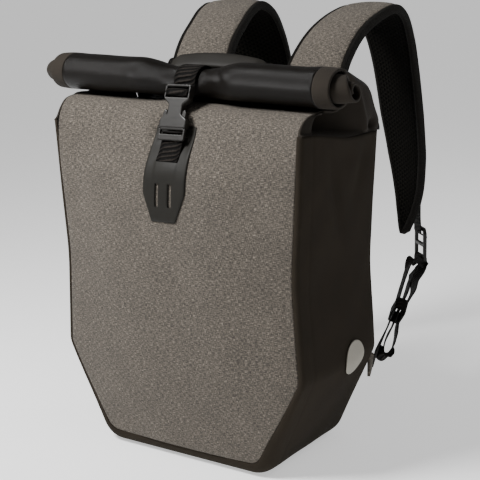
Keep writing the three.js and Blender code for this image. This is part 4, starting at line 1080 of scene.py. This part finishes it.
class BAG_OT_closure(bpy.types.Operator):
    """Make the webbing over the roll and the webbing from the buckle to the patch"""
    bl_idname = "bag.closure"
    bl_label = "Closure webbing"

    def execute(self, context):
        thick = size("webbing")
        lift = thick + 0.5
        a, b = (float(v) for v in roll_oval(np.array(0.0)))
        roof, start = ROOF[-1, 2:], roll_place(0.0, ROLL_START)[1:]
        over = [mix(roof, start, share) + (0, lift) for share in (0.55, 0.85)]
        angles = np.radians((75, 95, 115, 135, 150))
        y, z = ROLL_BACK - a + (a + lift) * np.cos(angles), ROLL_BOTTOM + b + (b + lift) * np.sin(angles)
        front = BUCKLE_DEPTH / 2 + 0.3 + thick / 2
        back = -BUCKLE_DEPTH / 2 - 0.15 - thick / 2
        bars = [(-1.5, back), (1.6, back), (3.4, back + 2.4), (5.2, front - 1.6), (6.8, front),
                (8.6, front), (10.3, front - 2.4), (10.8, 0)]
        over += list(np.stack([y, z], -1)) + [buckle_place(*place)[1:] for place in bars]
        self.tape("upper", over, 90)
        seam = PATCH_TOP - PATCH_SEAM
        low = [buckle_place(*place)[1:] for place in
               ((45.2, 1.0), (45.8, -0.6), (48.2, -1.5), (51.0, -1.5), (54.0, -1.4))]
        face = PATCH_GAP + PATCH_RISE + thick / 2 + 0.2
        low += [(float(front_y(np.array(0.0), np.array(z))) - face, z)
                for z in (seam + 6.0, seam + 2.0, seam - 1.0)]
        self.tape("lower", low, 60)
        return {"FINISHED"}

    def tape(self, which, places, count):
        """Webbing through places in the middle plane, given as depth and height."""
        line = np.pad(curve(np.array(places), count)[0], ((0, 0), (1, 0)))
        side = np.tile((1.0, 0, 0), (count, 1))
        ribbon(f"closure_webbing_{which}_tape", line, side, size("webbing_width"), f"closure_webbing_{which}")


class BAG_OT_handle(bpy.types.Operator):
    """Make the padded grip and its webbing"""
    bl_idname = "bag.handle"
    bl_label = "Carrying handle"

    def execute(self, context):
        half = size("handle_length") / 2
        across = np.array((0, math.sin(HANDLE_LEAN), math.cos(HANDLE_LEAN)))
        out = np.array((0, -math.cos(HANDLE_LEAN), math.sin(HANDLE_LEAN)))
        x = np.linspace(-half, half, 61)
        line = np.stack([x, HANDLE_DEPTH + 0 * x, HANDLE_HEIGHT + HANDLE_RISE * (1 - (x / half) ** 2)], -1)
        width = GRIP_WIDTH * mix(0.86, 1, smooth((half - np.abs(x)) / 4))
        thick = GRIP_THICKNESS * mix(0.45, 1, smooth((half - np.abs(x)) / 9))
        loops = ring(line, np.tile(across, (61, 1)), np.tile(out, (61, 1)), width, thick,
                     power=0.6, columns=32)
        grip = tube("handle_grip_cover", loops, "grip", "handle_grip")
        foot = HANDLE_FOOT
        side = [(foot, 73.1, 306), (foot, 73.1, 323), (foot * 0.99, 69, 341), (foot * 0.97, 39.6, 364),
                (half + 9, 26, 370), (half + 4, 12, 378.5)]
        inside = [(-half * share, HANDLE_DEPTH, HANDLE_HEIGHT + HANDLE_RISE * (1 - share * share))
                  for share in np.linspace(-1, 1, 9)]
        line, _ = curve(side + inside + [(-px, py, pz) for px, py, pz in side[::-1]], 150)
        turn = smooth((np.abs(line[:, 0]) - half) / (foot - half))[:, None]
        direction = mix(np.tile(across, (150, 1)), np.sign(line[:, :1]) * np.array((1.0, 0, 0)), turn)
        ribbon("handle_webbing_tape", line, direction, HANDLE_WEBBING, "handle_webbing")
        return {"FINISHED"}


def strap_frames(count):
    """Places along a strap: the centre, the direction across, the outward direction, half the width."""
    line, at = curve(STRAP_RUN[:, :3], count)
    index = np.arange(len(STRAP_RUN))
    half = np.interp(at, index, STRAP_RUN[:, 3]) / 2
    turn = np.radians(np.interp(at, index, STRAP_RUN[:, 4]))
    side = np.stack([np.cos(turn), np.sin(turn), 0 * turn], -1)
    along = unit(np.gradient(line, axis=0))
    out = unit(np.cross(side, along))
    share = np.linspace(0, 1, count)
    return line, side, out, along, half, 3 * smooth(share * 5)


def strap_sheet(frames, lateral, deep):
    """A point across a strap: the centre moved sideways, and outwards by the crown less the depth."""
    line, side, out, _, half, crown = frames
    high = crown[:, None] * (1 - (lateral / half[:, None]) ** 2) - deep
    return line[:, None] + side[:, None] * lateral[..., None] + out[:, None] * high[..., None]


def lifted(points, sign):
    """The left strap stands a little higher above its foot, by a smooth step."""
    if sign > 0:
        return points
    raised = points * (-1, 1, 1)
    above = raised[..., 2] - size("crease_height")
    raised[..., 2] += LEFT_STRAP_LIFT * smooth(above / (size("depth") * 0.7))
    return raised


class BAG_OT_straps(bpy.types.Operator):
    """Make both shoulder straps: cover, spacer pad and binding"""
    bl_idname = "bag.straps"
    bl_label = "Shoulder straps"

    def execute(self, context):
        thick = size("strap_thickness")
        frames = strap_frames(150)
        wide = frames[4] > 7.6
        inner = tuple(part[wide] for part in frames)
        share = np.linspace(-1, 1, 41)[None]
        lateral = (inner[4][:, None] - 4.6) * share
        within = 1 - np.abs(share)
        cover = strap_sheet(inner, lateral, 0.65 - 0.9 * smooth(within / 0.16))
        base = strap_sheet(inner, lateral, 2.2)
        pad_out = strap_sheet(inner, lateral, 2.5)
        pad_in = strap_sheet(inner, lateral, thick - 0.9 + 1.1 * smooth(within / 0.22))
        faces = grid_faces(*lateral.shape)
        flat = lengths(cover)
        for side, sign in SIDES:
            shell(f"strap_cover_cloth_{side}", lifted(cover, sign), lifted(base, sign), faces, flat,
                  "melange", f"strap_cover_{side}")
            pad = shell(f"strap_pad_mesh_{side}", lifted(pad_in, sign), lifted(pad_out, sign), faces, flat,
                        "spacer", f"strap_pad_{side}")
            self.binding(side, sign, frames, thick)
        return {"FINISHED"}

    def binding(self, side, sign, frames, thick):
        """Tape folded over the edge: a rounded box carried down one side, round the tip and up the other."""
        line, across, out, along, half, crown = frames
        reach = np.maximum(half - 2.3, 0.4)
        middle = line - out * (thick / 2 - crown * (1 - (reach / half) ** 2))[:, None]
        sideways = across * reach[:, None]
        tip = line[-1] + along[-1] * 2.5 - out[-1] * thick / 2
        run = np.vstack([middle - sideways, tip[None], (middle + sideways)[::-1]])
        facing = np.vstack([out, out[-1:], out[::-1]])
        outward = np.vstack([-across, along[-1:], across[::-1]])
        loops = ring(run, outward, facing, BINDING_WIDTH, thick, power=0.55)
        tube(f"strap_binding_tape_{side}", lifted(loops, sign), "edging", f"strap_binding_{side}")


def twist_at(y):
    """The direction of the adjusting webbing's width at a depth."""
    return unit(np.stack([np.interp(y, TWIST[:, 0], TWIST[:, k]) for k in (1, 2, 3)], -1))


def squared(across, along):
    """A direction made square to another, of length one."""
    return unit(across - along * (across @ along))


def lock_place(up, out):
    """A place so far up the ladder lock, and so far out of its plane."""
    return LOCK_PLACE + np.array((0, 0, up)) + LOCK_OUT * out


class BAG_OT_adjusters(bpy.types.Operator):
    """Make the adjusting webbing, the ladder locks, the keepers and the side tabs"""
    bl_idname = "bag.adjusters"
    bl_label = "Strap adjusters"

    def execute(self, context):
        thick = size("webbing")
        line, across, out, _, _, crown = strap_frames(151)
        upper = [line[k] + out[k] * (crown[k] + 1 + thick / 2) for k in (129, 132, 135)]
        beside = (LOCK_BAR + thick) / 2 + 0.9
        upper += [lock_place(*place) for place in
                  ((52, -beside - 1), (40, -beside), (34, -beside + 0.4), (31, 0), (29, beside))]
        upper, _ = curve(upper, 70)
        share = np.linspace(0, 1, 70)[:, None]
        turn = mix(across[129][None], LOCK_ACROSS[None], smooth(1.6 * share - 0.2))
        beside = (LOCK_BAR + thick) / 2 + 0.6
        hairpin = [(-3, -beside), (1, -beside), (5.6, -beside + 0.5), (7.4, 0), (5.6, beside - 0.5),
                   (1, beside), (-3, beside)]
        lower, _ = curve(ADJUSTER_RUN + [lock_place(*place) for place in hairpin] + TAIL_RUN, 260)
        facing = twist_at(lower[:, 1])
        plane = (LOCK_ACROSS, np.array((0, 0, 1.0)), np.cross(LOCK_ACROSS, (0, 0, 1)))
        frame_side = [(12, 0, 2), (15, 3, 2), (15, 34, 3), (11, 40, 2)]
        outlines = [rounded(mirrored(frame_side), closed=True, steps=5), box_outline(11.5, 4, 18),
                    box_outline(11.5, 22, 36)]
        for side, sign in SIDES:
            turned = np.array((sign, 1, 1))
            for which, run, width in (("upper", upper, turn), ("lower", lower, facing)):
                ribbon(f"strap_webbing_{which}_tape_{side}", run * turned, width * turned, STRAP_WEBBING,
                       f"strap_webbing_{which}_{side}")
            place = (tuple(v * turned for v in plane), LOCK_PLACE * turned)
            plate(f"ladder_lock_body_{side}", outlines, LOCK_BAR, place, f"ladder_lock_{side}", 0.8)
            self.keeper(side, turned)
            self.tab(side, turned)
        return {"FINISHED"}

    def keeper(self, side, turned):
        """A band round all the strands: a rounded box ring carried a short way along the run."""
        line, _ = curve(ADJUSTER_RUN, 141)
        along = unit(line[81] - line[79])
        across = squared(twist_at(line[80][1]), along)
        shift = np.linspace(-KEEPER_LENGTH / 2, KEEPER_LENGTH / 2, 7)[:, None]
        directions = np.tile(across, (7, 1)), np.tile(np.cross(across, along), (7, 1))
        outer, inner = (
            ring(KEEPER_PLACE + shift * along, *directions, *box, power=power, columns=32)
            for box, power in ((KEEPER_OUTER, 0.35), (KEEPER_INNER, 0.3)))
        faces = grid_faces(*outer.shape[:2], wrap=True)
        shell(f"webbing_keeper_band_{side}", outer * turned, inner * turned, faces, lengths(outer),
              "tapes", f"webbing_keeper_{side}")

    def tab(self, side, turned):
        """The folded tab: straight lines from the seam to the webbing's end."""
        end, after = np.array(ADJUSTER_RUN[:2], float)
        along = unit(after - end)
        across = squared(twist_at(end[1]), along)
        seam = np.array((HIP[0] - BACK_CORNER, size("depth") / 2 + GAP, end[2]))
        width = np.linspace(-1, 1, 13)[None, :, None]
        low = seam + width * np.array((0, 0, 13.0))
        high = end - along * 0.6 + width * across * STRAP_WEBBING / 2
        grid = mix(low, high, np.linspace(0, 1, 9)[:, None, None])
        cloth(f"side_tab_cloth_{side}", grid * turned, -TAB_THICKNESS * turned[0], "melange",
              "melange_cloth", f"side_tab_{side}")


class BAG_OT_disc(bpy.types.Operator):
    """Make the plain reflective disc on the right-hand side"""
    bl_idname = "bag.disc"
    bl_label = "Reflective disc"

    def execute(self, context):
        radius = size("disc") / 2
        grid = side_band_grid()
        u, v = np.meshgrid(np.linspace(-1, 1, 33), np.linspace(-1, 1, 33), indexing="ij")
        up, along = u * np.sqrt(1 - v**2 / 2), v * np.sqrt(1 - u**2 / 2)
        y, z = DISC_PLACE[0] + radius * along, DISC_PLACE[1] + radius * up
        x = wall_x(grid[: len(grid) // 2], y, z)
        face = np.stack([x + DISC_FACE, y, z], -1)
        cloth("side_disc_film", face, -DISC_THICKNESS, "reflective", "reflective_print", "side_disc")
        return {"FINISHED"}


def wall_x(column, y, z):
    """How far out the side wall lies at depths and heights, read from its grid between its points."""
    ys = column[0, :, 1]
    at = np.clip(np.searchsorted(ys, y) - 1, 0, len(ys) - 2)
    low, high = np.zeros(y.shape), np.zeros(y.shape)
    for k in np.unique(at):
        here = at == k
        for store, j in ((low, k), (high, k + 1)):
            heights, widths = column[::-1, j, 2], column[::-1, j, 0]
            store[here] = np.interp(z[here], heights, widths)
    share = (y - ys[at]) / (ys[at + 1] - ys[at])
    return mix(low, high, share)


class BAG_OT_stage(bpy.types.Operator):
    """Set the pale floor and the soft studio lights"""
    bl_idname = "bag.stage"
    bl_label = "Stage"

    def execute(self, context):
        half = FLOOR_HALF
        corners = [(-half, -half, -FLOOR_DROP), (half, -half, -FLOOR_DROP), (half, half, -FLOOR_DROP),
                   (-half, half, -FLOOR_DROP)]
        mesh = bpy.data.meshes.new("floor")
        mesh.from_pydata(corners, [], [(0, 1, 2, 3)])
        floor = bpy.data.objects.new("floor", mesh)
        context.scene.collection.objects.link(floor)
        paper = bpy.data.materials.new("paper")
        paper.use_nodes = True
        shader = paper.node_tree.nodes["Principled BSDF"]
        for socket, value in (("Base Color", (0.9, 0.9, 0.9, 1)), ("Roughness", 0.9),
                              ("Emission Color", (1, 1, 1, 1)), ("Emission Strength", FLOOR_GLOW)):
            shader.inputs[socket].default_value = value
        mesh.materials.append(paper)
        world = bpy.data.worlds.new("studio")
        world.use_nodes = True
        glow = world.node_tree.nodes["Background"].inputs
        glow["Color"].default_value = (1, 1, 1, 1)
        glow["Strength"].default_value = WORLD_GLOW
        context.scene.world = world
        for name, place, width, power in LAMPS:
            light = bpy.data.lights.new(name, "AREA")
            light.shape = "DISK"
            light.size = width
            light.energy = power
            lamp = bpy.data.objects.new(name, light)
            lamp.location = place
            lamp.rotation_euler = (LAMP_AIM - Vector(place)).to_track_quat("-Z", "Y").to_euler()
            context.scene.collection.objects.link(lamp)
        return {"FINISHED"}


OPERATORS = (
    BAG_OT_camera, BAG_OT_front_panel, BAG_OT_body, BAG_OT_roll, BAG_OT_patch, BAG_OT_buckle,
    BAG_OT_closure, BAG_OT_handle, BAG_OT_straps, BAG_OT_adjusters, BAG_OT_disc, BAG_OT_stage,
)


class BAG_PT_panel(bpy.types.Panel):
    """The backpack's sizes, colours and pieces"""
    bl_idname = "BAG_PT_panel"
    bl_label = "Backpack"
    bl_space_type = "VIEW_3D"
    bl_region_type = "UI"
    bl_category = "Backpack"

    def draw(self, context):
        for group in (context.scene.bag_sizes, context.scene.bag_colours):
            for name in group.__annotations__:
                self.layout.prop(group, name)
        for operator in OPERATORS:
            self.layout.operator(operator.bl_idname)


CLASSES = (BagSizes, BagColours, *OPERATORS, BAG_PT_panel)


def register():
    for entry in CLASSES:
        bpy.utils.register_class(entry)
    bpy.types.Scene.bag_sizes = PointerProperty(type=BagSizes)
    bpy.types.Scene.bag_colours = PointerProperty(type=BagColours)


def unregister():
    del bpy.types.Scene.bag_colours
    del bpy.types.Scene.bag_sizes
    for entry in reversed(CLASSES):
        bpy.utils.unregister_class(entry)


def main():
    register()
    for operator in OPERATORS:
        getattr(bpy.ops.bag, operator.bl_idname.split(".")[1])()


if __name__ == "__main__":
    main()
